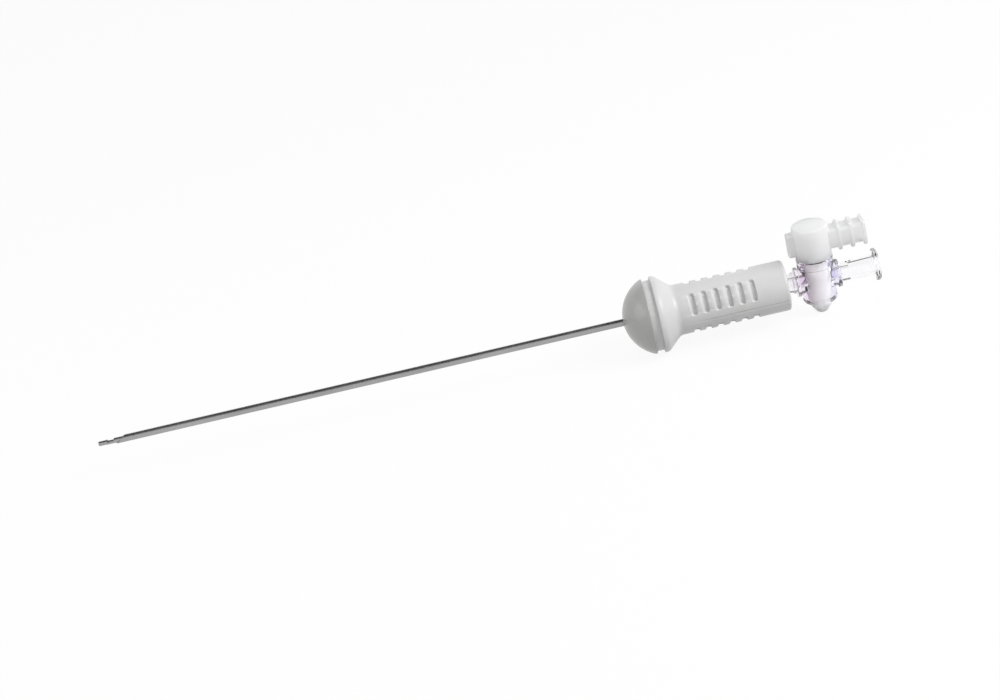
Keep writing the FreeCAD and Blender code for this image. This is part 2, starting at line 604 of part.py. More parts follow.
def make_stylet_hub():
    """Carriage that holds the stylet tube, carries the spring and takes the stopcock's cone."""
    body = new_body("stylet_hub")
    sketch = new_sketch(body, "carriage_profile", "XZ_Plane")
    nose_front = "dim.flange_front - dim.nose_reach"
    outline(sketch, [
        (nose_front, "dim.seal_bore"),
        (nose_front, "dim.carriage_nose"),
        ("dim.flange_front", "dim.carriage_nose"),
        ("dim.flange_front", "dim.carriage_radius"),
        ("dim.flange_rear", "dim.carriage_radius"),
        ("dim.flange_rear", "dim.shoulder_radius"),
        ("dim.shoulder_end", "dim.shoulder_radius"),
        ("dim.shoulder_end", "dim.tail_radius"),
        ("dim.tail_end", "dim.tail_radius"),
        ("dim.tail_end", "dim.socket_mouth"),
        ("dim.cone_front", "dim.cone_front_socket"),
        ("dim.cone_front", "dim.gas_way"),
        ("dim.stylet_rear", "dim.gas_way"),
        ("dim.stylet_rear", "dim.seal_bore"),
    ])
    revolve(body, "carriage", sketch)
    return body


def make_return_spring():
    """Compression spring between the carriage flange and the guide bush."""
    coil = doc.addObject("Part::Helix", "spring_line")
    coil.setExpression("Radius", "dim.spring_radius")
    coil.setExpression("Height", "dim.spring_height")
    coil.setExpression("Pitch", "dim.spring_pitch")
    section = doc.addObject("Part::Circle", "spring_section")
    section.setExpression("Radius", "dim.spring_wire")
    section.Placement = FreeCAD.Placement(FreeCAD.Vector(), FreeCAD.Rotation(FreeCAD.Vector(1, 0, 0), 90))
    section.setExpression("Placement.Base.x", "dim.spring_radius")
    spring = doc.addObject("Part::Sweep", "return_spring")
    spring.Label = "return_spring"
    spring.Sections = [section]
    spring.Spine = (coil, [])
    spring.Solid = True
    spring.Frenet = True
    spring.Placement = FreeCAD.Placement(FreeCAD.Vector(), FreeCAD.Rotation(FreeCAD.Vector(0, 1, 0), 90))
    spring.setExpression("Placement.Base.x", "dim.flange_rear + dim.spring_wire + dim.fit_gap")
    return spring


def make_stopcock_body():
    """Clear valve body: barrel for the plug, front arm with male cone, inlet tube with flange."""
    body = new_body("stopcock_body")
    body.setExpression("Placement.Base.x", "dim.plug_axis")
    barrel = new_sketch(body, "barrel_profile", "XZ_Plane")
    outline(barrel, [
        ("0", "0 - dim.body_bottom"),
        ("dim.body_radius", "0 - dim.body_bottom"),
        ("dim.body_radius", "dim.body_top - dim.rim_height"),
        ("dim.rim_radius", "dim.body_top - dim.rim_height"),
        ("dim.rim_radius", "dim.body_top"),
        ("0", "dim.body_top"),
    ])
    revolve(body, "valve_barrel", barrel, axis="V_Axis")
    soften(body, "barrel_foot", ring_edge("dim.body_radius", "0 - dim.body_bottom", "z"), "dim.body_round")

    front = new_sketch(body, "front_profile", "XZ_Plane")
    outline(front, [
        ("0 - dim.plug_bore", "0"),
        ("0 - dim.plug_bore", "dim.front_disc - dim.disc_width / 2"),
        ("dim.disc_width / 2 - dim.front_place", "dim.front_disc - dim.disc_width / 2"),
        ("dim.disc_width / 2 - dim.front_place", "dim.front_disc"),
        ("0 - dim.disc_width / 2 - dim.front_place", "dim.front_disc"),
        ("0 - dim.disc_width / 2 - dim.front_place", "dim.arm_radius"),
        ("dim.ring_width / 2 - dim.ring_place", "dim.arm_radius"),
        ("dim.ring_width / 2 - dim.ring_place", "dim.ring_radius"),
        ("0 - dim.ring_width / 2 - dim.ring_place", "dim.ring_radius"),
        ("0 - dim.ring_width / 2 - dim.ring_place", "dim.arm_radius"),
        ("0 - dim.cone_seat", "dim.arm_radius"),
        ("0 - dim.cone_seat", "dim.cone_rear_radius"),
        ("0 - dim.cone_end", "dim.cone_radius"),
        ("0 - dim.cone_end", "0"),
    ])
    revolve(body, "front_arm", front)

    rear = new_sketch(body, "inlet_profile", "XZ_Plane")
    outline(rear, [
        ("dim.plug_bore", "0"),
        ("dim.plug_bore", "dim.rear_disc - dim.disc_width / 2"),
        ("dim.rear_place - dim.disc_width / 2", "dim.rear_disc - dim.disc_width / 2"),
        ("dim.rear_place - dim.disc_width / 2", "dim.rear_disc"),
        ("dim.rear_place + dim.disc_width / 2", "dim.rear_disc"),
        ("dim.rear_place + dim.disc_width / 2", "dim.arm_radius"),
        ("dim.inlet_end - dim.flange_width", "dim.arm_radius"),
        ("dim.inlet_end - dim.flange_width", "dim.inlet_flange"),
        ("dim.inlet_end", "dim.inlet_flange"),
        ("dim.inlet_end", "0"),
    ])
    revolve(body, "inlet_tube", rear)
    discs = [
        ring_edge(radius, f"{place} {side} dim.disc_width / 2")
        for radius, place in (("dim.front_disc", "0 - dim.front_place"), ("dim.rear_disc", "dim.rear_place"))
        for side in "+-"
    ]
    flange = [ring_edge("dim.inlet_flange", place)
              for place in ("dim.inlet_end", "dim.inlet_end - dim.flange_width")]
    soften(body, "disc_edges", lambda edge: any(test(edge) for test in discs + flange), "dim.disc_edge")

    lug = new_sketch(body, "lug_profile", "XZ_Plane")
    rectangle(lug, "dim.lug_inner", "dim.lug_outer",
              "dim.body_top - dim.cap_gap", "dim.body_top + dim.lug_height")
    lug.AttachmentOffset = FreeCAD.Placement(
        FreeCAD.Vector(), FreeCAD.Rotation(FreeCAD.Vector(0, 1, 0), value("dim.lug_turn")))
    revolve(body, "stop_lug", lug, axis="V_Axis", angle="dim.lug_span")

    bore = new_sketch(body, "plug_bore_profile", "XZ_Plane")
    outline(bore, [
        ("0", "0 - 2 * dim.body_bottom"),
        ("dim.neck_bore", "0 - 2 * dim.body_bottom"),
        ("dim.neck_bore", "dim.floor_top"),
        ("dim.plug_bore", "dim.floor_top"),
        ("dim.plug_bore", "2 * dim.body_top"),
        ("0", "2 * dim.body_top"),
    ])
    revolve(body, "plug_bore", bore, axis="V_Axis", cut=True)

    way = new_sketch(body, "gas_way_profile", "XZ_Plane")
    outline(way, [
        ("0 - 2 * dim.cone_end", "0"),
        ("0 - 2 * dim.cone_end", "dim.gas_way"),
        ("dim.inlet_end - dim.inlet_depth", "dim.gas_way"),
        ("dim.inlet_end - dim.inlet_depth", "dim.inlet_foot"),
        ("dim.inlet_end - dim.inlet_land", "dim.inlet_mouth"),
        ("dim.inlet_end", "dim.inlet_mouth"),
        ("dim.inlet_end", "0"),
    ])
    revolve(body, "gas_way", way, cut=True)
    return body


def rounded_block(body, name, start, length, middle, height, width, corner, back=False):
    """Bar of rounded section, padded along x from a place beside the plug axis."""
    sketch = new_sketch(body, f"{name}_section", "YZ_Plane", lift=start)
    low = f"{middle} - {height} / 2"
    high = f"{middle} + {height} / 2"
    side = f"{width} / 2"
    outline(sketch, [
        (f"{corner} - {side}", low),
        (f"{side} - {corner}", low),
        (side, f"{low} + {corner}"),
        (side, f"{high} - {corner}"),
        (f"{side} - {corner}", high),
        (f"{corner} - {side}", high),
        (f"0 - {side}", f"{high} - {corner}"),
        (f"0 - {side}", f"{low} + {corner}"),
    ], bends={index: (corner, -1) for index in (1, 3, 5, 7)})
    return extrude(body, name, sketch, length, back=back)


def make_valve_lever():
    """Plug, cap, ribbed arm and front wing of the valve, moulded in one."""
    body = new_body("valve_lever")
    body.setExpression("Placement.Base.x", "dim.plug_axis")
    plug = new_sketch(body, "plug_profile", "XZ_Plane")
    outline(plug, [
        ("0", "dim.snap_bottom"),
        ("dim.snap_end", "dim.snap_bottom"),
        ("dim.snap_radius", "dim.snap_bend"),
        ("dim.snap_radius", "dim.snap_top"),
        ("dim.plug_neck", "dim.snap_top"),
        ("dim.plug_neck", "dim.floor_top + dim.running_gap"),
        ("dim.plug_radius", "dim.floor_top + dim.running_gap"),
        ("dim.plug_radius", "dim.cap_bottom"),
        ("dim.cap_radius", "dim.cap_bottom"),
        ("dim.cap_radius", "dim.cap_top"),
        ("0", "dim.cap_top"),
    ])
    revolve(body, "plug_and_cap", plug, axis="V_Axis")
    soften(body, "cap_edge", ring_edge("dim.cap_radius", "dim.cap_top", "z"), "dim.cap_round")
    rounded_block(body, "lever_arm", "0", "dim.arm_end", "dim.arm_middle", "dim.arm_height",
                  "dim.arm_width", "dim.arm_round")
    rounded_block(body, "front_wing", "0", "dim.wing_reach", "dim.arm_middle", "dim.wing_height",
                  "dim.wing_width", "dim.wing_round", back=True)
    rib = rounded_block(body, "grip_rib", "dim.rib_first - dim.rib_width / 2", "dim.rib_width",
                        "dim.arm_middle", "dim.rib_height", "dim.rib_breadth", "dim.rib_round")
    ribs = body.newObject("PartDesign::LinearPattern", "grip_ribs")
    ribs.Originals = [rib]
    ribs.Direction = (origin_feature(body, "X_Axis"), [""])
    ribs.Mode = "Spacing"
    ribs.setExpression("Offset", "dim.rib_pitch")
    ribs.setExpression("Occurrences", "dim.rib_count")
    body.Tip = ribs
    doc.recompute()

    way = new_sketch(body, "plug_way", "YZ_Plane")
    circle(way, "dim.gas_way")
    extrude(body, "cross_hole", way, "4 * dim.plug_radius", cut=True, both=True)

    track = new_sketch(body, "track_profile", "XZ_Plane")
    rectangle(track, "dim.lug_inner - dim.running_gap", "dim.lug_outer + dim.running_gap",
              "dim.cap_bottom - dim.cap_gap", "dim.body_top + dim.lug_height + dim.stop_gap")
    middle = value("dim.lug_turn - dim.lever_range / 2")
    track.AttachmentOffset = FreeCAD.Placement(
        FreeCAD.Vector(), FreeCAD.Rotation(FreeCAD.Vector(0, 1, 0), middle))
    revolve(body, "stop_track", track, axis="V_Axis", cut=True,
            angle="dim.lever_range + dim.lug_span + 2 * dim.lug_slack")
    return body


parts = [
    make_needle_cannula(),
    make_cannula_hub(),
    make_dome_nose(),
    make_shell("upper_shell", value("dim.handle_turn")),
    make_shell("lower_shell", value("dim.handle_turn") + 180),
    make_stylet_seal(),
    make_seal_retainer(),
    make_rear_bush(),
    make_stylet_tube(),
    make_stylet_tip(),
    make_stylet_hub(),
    make_return_spring(),
    make_stopcock_body(),
    make_valve_lever(),
]
doc.recompute()

for item in doc.Objects:
    if "Invalid" in item.State or "Error" in item.State:
        raise RuntimeError(f"{item.Label} is {item.State}")
for part in parts:
    if part.Shape.isNull() or not part.Shape.isValid() or not part.Shape.Solids:
        raise RuntimeError(f"{part.Label} has no valid shape")

os.makedirs("parts", exist_ok=True)
for part in parts:
    part.Shape.exportStep(os.path.join("parts", f"{part.Label}.step"))
    box = part.Shape.BoundBox
    print(f"{part.Label}: {len(part.Shape.Solids)} solid, {part.Shape.Volume:.2f} mm3, "
          f"x {box.XMin:.2f} to {box.XMax:.2f}, z {box.ZMin:.2f} to {box.ZMax:.2f}")
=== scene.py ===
import math

import bmesh
import bpy
from mathutils import Matrix, Vector


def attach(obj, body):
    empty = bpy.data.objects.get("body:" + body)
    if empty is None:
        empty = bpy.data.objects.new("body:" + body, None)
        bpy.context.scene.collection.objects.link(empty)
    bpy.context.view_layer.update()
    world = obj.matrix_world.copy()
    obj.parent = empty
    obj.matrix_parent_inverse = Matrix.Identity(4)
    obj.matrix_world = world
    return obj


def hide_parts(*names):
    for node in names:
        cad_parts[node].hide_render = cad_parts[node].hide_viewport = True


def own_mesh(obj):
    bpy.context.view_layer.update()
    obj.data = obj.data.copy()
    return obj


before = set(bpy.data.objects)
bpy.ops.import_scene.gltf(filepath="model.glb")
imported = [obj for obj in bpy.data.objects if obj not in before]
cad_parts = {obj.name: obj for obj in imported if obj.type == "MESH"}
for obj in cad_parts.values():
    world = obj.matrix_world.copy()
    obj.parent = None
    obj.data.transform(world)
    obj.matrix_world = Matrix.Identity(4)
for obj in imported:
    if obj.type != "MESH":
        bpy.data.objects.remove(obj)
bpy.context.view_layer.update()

# Cannula: a drawn 14 gauge stainless tube, glued into its hub inside the handle.
# Its front is ground to a slanted bevel that opens upwards, with the sharp point underneath.
cannula_point = -150.0e-3
cannula_rear = 12.4e-3
cannula_radius = 1.05e-3
cannula_bore = 0.85e-3
glued_radius = 1.0e-3
glued_front = 1.6e-3
bevel_length = 3.0e-3
bevel_angle = math.atan2(2 * cannula_radius, bevel_length)
grindstone_size = 12e-3
weld_reach = 2e-6
hair = 1e-6


def new_primitive(add, name, stretch=(1, 1, 1), **size):
    """Adds one primitive at its size and place, alone selected, with its place in its mesh."""
    bpy.ops.object.select_all(action="DESELECT")
    add(**size)
    piece = bpy.context.object
    piece.name = piece.data.name = name
    piece.scale = stretch
    bpy.ops.object.transform_apply(location=True, rotation=True, scale=True)
    return piece


def spun_outline(name, points, pivot, axis, steps, sweep=math.tau):
    """Draws an outline vertex by vertex and spins it about an axis through a pivot."""
    piece = new_primitive(bpy.ops.mesh.primitive_plane_add, name, size=1e-3, location=points[0])
    bpy.ops.object.mode_set(mode="EDIT")
    bpy.ops.mesh.select_mode(type="VERT")
    bpy.ops.mesh.select_all(action="SELECT")
    bpy.ops.mesh.merge(type="CENTER")
    for before, after in zip(points, points[1:]):
        bpy.ops.mesh.extrude_region_move(TRANSFORM_OT_translate={"value": after - before})
    if (points[0] - pivot).cross(Vector(axis)).length > hair:
        mesh = bmesh.from_edit_mesh(piece.data)
        mesh.verts.ensure_lookup_table()
        mesh.verts[0].select = True
        bmesh.update_edit_mesh(piece.data)
        bpy.ops.mesh.edge_face_add()
    bpy.ops.mesh.select_all(action="SELECT")
    bpy.ops.mesh.spin(steps=steps, angle=sweep, center=pivot, axis=axis)
    bpy.ops.mesh.select_all(action="SELECT")
    bpy.ops.mesh.remove_doubles(threshold=weld_reach)
    bpy.ops.mesh.normals_make_consistent(inside=False)
    bpy.ops.object.mode_set(mode="OBJECT")
    return piece


def turned(name, outline, steps=96, sweep=math.tau):
    """Outline of (along, out) pairs, turned about the needle axis."""
    points = [Vector((along, 0, out)) for along, out in outline]
    return spun_outline(name, points, Vector((0, 0, 0)), (1, 0, 0), steps, sweep)


def combine(piece, tool, operation):
    """Cuts a tool from a piece, or joins it to the piece, and deletes the tool."""
    bpy.ops.object.select_all(action="DESELECT")
    bpy.context.view_layer.objects.active = piece
    change = piece.modifiers.new(operation.lower(), "BOOLEAN")
    change.operation = operation
    change.solver = "EXACT"
    change.object = tool
    bpy.ops.object.modifier_apply(modifier=change.name)
    tool.select_set(True)
    bpy.ops.object.delete()


def finish_piece(piece, body, nodes, materials, sharpest=35):
    """Shades a piece, gives it its materials and ties it to its body and its nodes."""
    bpy.ops.object.select_all(action="DESELECT")
    piece.select_set(True)
    bpy.context.view_layer.objects.active = piece
    bpy.ops.object.shade_smooth_by_angle(angle=math.radians(sharpest))
    even = piece.modifiers.new("even", "WEIGHTED_NORMAL")
    even.weight = 100
    even.keep_sharp = True
    bpy.ops.object.modifier_apply(modifier="even")
    for material in materials:
        piece.data.materials.append(material)
    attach(piece, body)
    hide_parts(*nodes)


def new_material(name, metallic=0.0, roughness=0.4):
    """Material with its tree, its links and its main shader."""
    material = bpy.data.materials.new(name)
    material.use_nodes = True
    tree = material.node_tree
    shader = tree.nodes["Principled BSDF"]
    shader.inputs["Metallic"].default_value = metallic
    shader.inputs["Roughness"].default_value = roughness
    return material, tree, shader


def spread(tree, mask, low, high, start=0.35, end=0.65):
    """Spreads a mask between start and end over the values from low to high."""
    node = tree.nodes.new("ShaderNodeMapRange")
    node.inputs["From Min"].default_value = start
    node.inputs["From Max"].default_value = end
    node.inputs["To Min"].default_value = low
    node.inputs["To Max"].default_value = high
    tree.links.new(mask, node.inputs["Value"])
    return node.outputs["Result"]


def blend_colours(tree, mask, first, second):
    """Colour that goes from the first to the second as the mask goes from 0 to 1."""
    node = tree.nodes.new("ShaderNodeMix")
    node.data_type = "RGBA"
    node.inputs["A"].default_value = (*first, 1)
    node.inputs["B"].default_value = (*second, 1)
    tree.links.new(mask, node.inputs["Factor"])
    return node.outputs["Result"]


def raise_bumps(tree, shader, height, distance, strength):
    """Gives a shader the fine relief of a height mask."""
    node = tree.nodes.new("ShaderNodeBump")
    node.inputs["Strength"].default_value = strength
    node.inputs["Distance"].default_value = distance
    tree.links.new(height, node.inputs["Height"])
    tree.links.new(node.outputs["Normal"], shader.inputs["Normal"])


def noise(tree, scale, detail, stretch=None):
    """Noise on the piece's own coordinates, stretched along the needle if asked."""
    place = tree.nodes.new("ShaderNodeTexCoord")
    texture = tree.nodes.new("ShaderNodeTexNoise")
    texture.inputs["Scale"].default_value = scale
    texture.inputs["Detail"].default_value = detail
    if stretch:
        mapping = tree.nodes.new("ShaderNodeMapping")
        mapping.inputs["Scale"].default_value = stretch
        tree.links.new(place.outputs["Object"], mapping.inputs["Vector"])
        tree.links.new(mapping.outputs["Vector"], texture.inputs["Vector"])
    else:
        tree.links.new(place.outputs["Object"], texture.inputs["Vector"])
    return texture.outputs["Fac"]


def build_drawn_lines():
    """Shared finish of drawn tube: fine lines along the axis and a slow drift of tone."""
    group = bpy.data.node_groups.new("drawn_lines", "ShaderNodeTree")
    for label in ("Lines", "Drift"):
        group.interface.new_socket(label, in_out="OUTPUT", socket_type="NodeSocketFloat")
    sink = group.nodes.new("NodeGroupOutput")
    group.links.new(noise(group, 7000, 3, (0.012, 1, 1)), sink.inputs["Lines"])
    group.links.new(noise(group, 140, 3, (0.3, 1, 1)), sink.inputs["Drift"])
    return group


drawn_lines = build_drawn_lines()


def drawn_steel(name, clean, dull, smoothest, roughest):
    """Drawn steel whose tone drifts between clean and dull."""
    material, tree, shader = new_material(name, metallic=1)
    finish = tree.nodes.new("ShaderNodeGroup")
    finish.node_tree = drawn_lines
    drift = spread(tree, finish.outputs["Drift"], 0, 1)
    tree.links.new(blend_colours(tree, drift, clean, dull), shader.inputs["Base Color"])
    rough = spread(tree, finish.outputs["Lines"], smoothest, roughest)
    tree.links.new(rough, shader.inputs["Roughness"])
    raise_bumps(tree, shader, finish.outputs["Lines"], 2e-6, 0.5)
    return material


cannula_steel = drawn_steel("cannula_steel", clean=(0.41, 0.41, 0.41), dull=(0.35, 0.35, 0.36),
                            smoothest=0.34, roughest=0.44)
ground_steel, tree, shader = new_material("ground_steel", metallic=1)
grinding = noise(tree, 5000, 2, (1, 0.05, 1))
bevel_tone = blend_colours(tree, grinding, (0.70, 0.70, 0.71), (0.60, 0.60, 0.62))
tree.links.new(bevel_tone, shader.inputs["Base Color"])
tree.links.new(spread(tree, grinding, 0.25, 0.42), shader.inputs["Roughness"])
raise_bumps(tree, shader, grinding, 4e-6, 0.6)

cannula = turned("cannula", [
    (cannula_point, cannula_bore),
    (cannula_point, cannula_radius),
    (0, cannula_radius),
    (glued_front, glued_radius),
    (cannula_rear, glued_radius),
    (cannula_rear, cannula_bore),
], steps=64)
bevel_middle = Vector((cannula_point + bevel_length / 2, 0, 0))
bevel_up = Vector((-math.sin(bevel_angle), 0, math.cos(bevel_angle)))
grindstone = new_primitive(bpy.ops.mesh.primitive_cube_add, "grindstone", size=grindstone_size,
                           location=bevel_middle + bevel_up * (grindstone_size / 2),
                           rotation=(0, -bevel_angle, 0))
combine(cannula, grindstone, "DIFFERENCE")
finish_piece(cannula, "handle", ["needle_cannula"], [cannula_steel, ground_steel])
for face in cannula.data.polygons:
    if face.normal.dot(bevel_up) > 0.99 and face.center.x < cannula_point + bevel_length:
        face.material_index = 1

# Stylet: a thinner steel tube that carries the gas. A side port is cut into its upper wall,
# and a solid blunt nose a little under the tube's size is pressed into its front.
stylet_front = -152.6e-3
stylet_rear = 29.9e-3
stylet_radius = 0.75e-3
stylet_bore = 0.5e-3
port_start = -152.28e-3
port_length = 2.3e-3
port_floor = 0.1e-3
port_tool_width = 4e-3
port_tool_height = 2e-3
nose_front = -155.0e-3
nose_radius = 0.68e-3
nose_round = 0.3e-3
nose_plug = 0.3e-3
seat_gap = 2e-5
ring_reach = 3e-6


def open_alone(piece):
    """Opens one piece in edit mode, with nothing selected, and gives its mesh."""
    bpy.ops.object.select_all(action="DESELECT")
    piece.select_set(True)
    bpy.context.view_layer.objects.active = piece
    bpy.ops.object.mode_set(mode="EDIT")
    bpy.ops.mesh.select_mode(type="VERT")
    bpy.ops.mesh.select_all(action="DESELECT")
    return bmesh.from_edit_mesh(piece.data)


def pick_vertices(piece, test):
    """Selects the open piece's vertices that pass a test, with the edges and faces between."""
    mesh = bmesh.from_edit_mesh(piece.data)
    for vertex in mesh.verts:
        vertex.select = test(vertex.co)
    mesh.select_flush_mode()
    bmesh.update_edit_mesh(piece.data)


def soften_rings(piece, rings, place, segments=3):
    """Bevels round edges, given as (along, out, size), where place gives a point's own pair."""
    for along, out, size in rings:
        open_alone(piece)
        pick_vertices(piece, lambda co: math.dist(place(co), (along, out)) < ring_reach)
        bpy.ops.mesh.select_mode(type="EDGE")
        bpy.ops.mesh.bevel(offset=size, segments=segments, affect="EDGES")
        bpy.ops.object.mode_set(mode="OBJECT")


def about_needle(co):
    """A point's place along the needle and its distance from the needle's axis."""
    return co.x, math.hypot(co.y, co.z)


stylet_steel = drawn_steel("stylet_steel", clean=(0.40, 0.40, 0.41), dull=(0.34, 0.34, 0.35),
                           smoothest=0.34, roughest=0.44)

stylet = turned("stylet", [
    (stylet_front, stylet_bore),
    (stylet_front, stylet_radius),
    (stylet_rear, stylet_radius),
    (stylet_rear, stylet_bore),
], steps=48)
port_middle = Vector((port_start + port_length / 2, 0, port_floor + port_tool_height / 2))
port_cutter = new_primitive(bpy.ops.mesh.primitive_cube_add, "port_cutter", size=1,
                            location=port_middle,
                            stretch=(port_length, port_tool_width, port_tool_height))
open_alone(port_cutter)
pick_vertices(port_cutter, lambda co: co.z < port_floor + hair and co.x > port_start + hair)
bpy.ops.transform.translate(value=(-stylet_radius / 2, 0, 0))
bpy.ops.object.mode_set(mode="OBJECT")
combine(stylet, port_cutter, "DIFFERENCE")
finish_piece(stylet, "carriage", ["stylet_tube"], [stylet_steel])

blunt_nose = turned("blunt_nose", [
    (nose_front, 0),
    (nose_front, nose_radius),
    (stylet_front, nose_radius),
    (stylet_front, stylet_bore - seat_gap),
    (stylet_front + nose_plug, stylet_bore - seat_gap),
    (stylet_front + nose_plug, 0),
], steps=48)
soften_rings(blunt_nose, [(nose_front, nose_radius, nose_round)], about_needle, 5)
finish_piece(blunt_nose, "carriage", ["stylet_tip"], [stylet_steel], 50)

# Nose of the handle: a moulded dome that the cannula comes out of. Behind its rim a neck shows
# in the groove, a spigot seats in the bell, and a boss inside holds the cannula's hub.
dome_depth = 7.7e-3
dome_rim = 11.05e-3
dome_wall = 1.6e-3
dome_sphere = (dome_rim ** 2 + dome_depth ** 2) / (2 * dome_depth)
needle_hole = 1.07e-3
bell_front = 9.8e-3
neck_radius = 10.15e-3
painted_neck_band = 0.1e-3
spigot_radius = 9.65e-3
spigot_bore = 8.25e-3
spigot_end = 11.3e-3
boss_radius = 4.6e-3
boss_end = 9.0e-3
rim_round = 0.55e-3
hub_radius = 3.0e-3
hub_front = 2.1e-3


def dome_arc(radius, out_start, out_end, steps):
    """Points along the dome's outside or inside between two distances from the axis."""
    first = math.asin(out_start / radius)
    last = math.asin(out_end / radius)
    angles = [first + (last - first) * step / steps for step in range(steps + 1)]
    return [(dome_sphere - radius * math.cos(angle), radius * math.sin(angle)) for angle in angles]


def build_moulded_skin():
    """Shared finish of satin mouldings: fine spark-eroded grain and a faint mottle."""
    group = bpy.data.node_groups.new("moulded_skin", "ShaderNodeTree")
    for label in ("Mottle", "Grain"):
        group.interface.new_socket(label, in_out="OUTPUT", socket_type="NodeSocketFloat")
    sink = group.nodes.new("NodeGroupOutput")
    group.links.new(noise(group, 170, 4), sink.inputs["Mottle"])
    group.links.new(noise(group, 5200, 2), sink.inputs["Grain"])
    return group


moulded_skin = build_moulded_skin()


def moulded_plastic(name, pale, deep, smoothest, roughest, grain):
    """Satin plastic, faintly mottled between a pale and a deep tone."""
    material, tree, shader = new_material(name)
    skin = tree.nodes.new("ShaderNodeGroup")
    skin.node_tree = moulded_skin
    mottle = spread(tree, skin.outputs["Mottle"], 0, 1)
    tree.links.new(blend_colours(tree, mottle, pale, deep), shader.inputs["Base Color"])
    rough = spread(tree, skin.outputs["Mottle"], smoothest, roughest)
    tree.links.new(rough, shader.inputs["Roughness"])
    raise_bumps(tree, shader, skin.outputs["Grain"], grain, 0.5)
    return material


dome_plastic = moulded_plastic("dome_plastic", pale=(0.41, 0.41, 0.405), deep=(0.385, 0.385, 0.38),
                               smoothest=0.22, roughest=0.28, grain=2e-6)
grip_plastic = moulded_plastic("grip_plastic", pale=(0.625, 0.62, 0.62), deep=(0.60, 0.595, 0.595),
                               smoothest=0.32, roughest=0.42, grain=8e-6)

dome = turned("dome", [
    *dome_arc(dome_sphere, needle_hole, dome_rim, 30),
    (dome_depth, neck_radius),
    (bell_front, neck_radius),
    (bell_front, spigot_radius),
    (spigot_end, spigot_radius),
    (spigot_end, spigot_bore),
    *dome_arc(dome_sphere - dome_wall, spigot_bore, boss_radius, 8),
    (boss_end, boss_radius),
    (boss_end, hub_radius + seat_gap),
    (hub_front, hub_radius + seat_gap),
    (hub_front, needle_hole),
], steps=128)
soften_rings(dome, [(dome_depth, dome_rim, rim_round)], about_needle, 5)
finish_piece(dome, "handle", ["dome_nose"], [dome_plastic, grip_plastic])
# The neck's faces take the paler grip plastic, a painted lightening of the neck, which lies in the
# shade of the bell.
for face in dome.data.polygons:
    along, out = about_needle(face.center)
    if dome_depth < along < spigot_end and abs(out - neck_radius) < painted_neck_band:
        face.material_index = 1

# Handle: two moulded halves that meet on a parting line. Behind the groove a bell runs down
# into a straight grip. Each half carries two rows of thumb slots with a sloping front wall.
bell_radius = 11.05e-3
bell_land = 0.3e-3
bell_edge = 0.25e-3
crown_radius = 2.5e-3
hollow_radius = 2.5e-3
bell_slope = math.radians(43)
bend_steps = 8
grip_radius = 7.25e-3
grip_end = 47.3e-3
grip_edge = 0.8e-3
shell_bore = 5.65e-3
bore_edge = 0.2e-3
collar_front = 43.38e-3
collar_rear = 44.82e-3
collar_seat = 6.07e-3
stop_ring_front = 18.2e-3
stop_ring_rear = 19.8e-3
stop_ring_bore = 4.6e-3
bulkhead_front = 11.4e-3
bulkhead_rear = 13.0e-3
socket_radius = 3.6e-3
taper_end = 16.5e-3
taper_radius = 7.0e-3
handle_turn = math.radians(15)
seam_front = 24.5e-3
seam_edge = 0.3e-3
seam_overrun = 1e-3
slot_first = 19.9e-3
slot_pitch = 3.45e-3
slot_count = 6
slot_width = 1.9e-3
slot_depth = 0.85e-3
slot_corner = slot_width * 0.4
slot_slices = 16
slot_arc = math.radians(54)
slot_ramp = 0.7e-3
slot_draft = 0.15e-3
slot_foot = 0.4e-3
slot_flare = 0.12e-3
slot_levels = ((0, 0), (0.15, 0), (0.85, 0), (0.96, 0.3), (1, 1), (2, 1))
row_turn = math.radians(45)

crown_start = bell_front + bell_land
crown_end = crown_start + crown_radius * math.sin(bell_slope)
slope_drop = bell_radius - grip_radius - (crown_radius + hollow_radius) * (1 - math.cos(bell_slope))
hollow_end = crown_end + slope_drop / math.tan(bell_slope) + hollow_radius * math.sin(bell_slope)
bends = [bell_slope * step / bend_steps for step in range(bend_steps + 1)]
crown = [(crown_start + crown_radius * math.sin(bend),
          bell_radius - crown_radius * (1 - math.cos(bend))) for bend in bends]
hollow = [(hollow_end - hollow_radius * math.sin(bend),
           grip_radius + hollow_radius * (1 - math.cos(bend))) for bend in reversed(bends)]


def settle_piece(piece, move=(0, 0, 0), turn=(0, 0, 0)):
    """Turns a whole piece about the origin, then moves it, and keeps that in its mesh."""
    bpy.ops.object.select_all(action="DESELECT")
    piece.select_set(True)
    bpy.context.view_layer.objects.active = piece
    piece.location = move
    piece.rotation_euler = turn
    bpy.ops.object.transform_apply(location=True, rotation=True, scale=True)


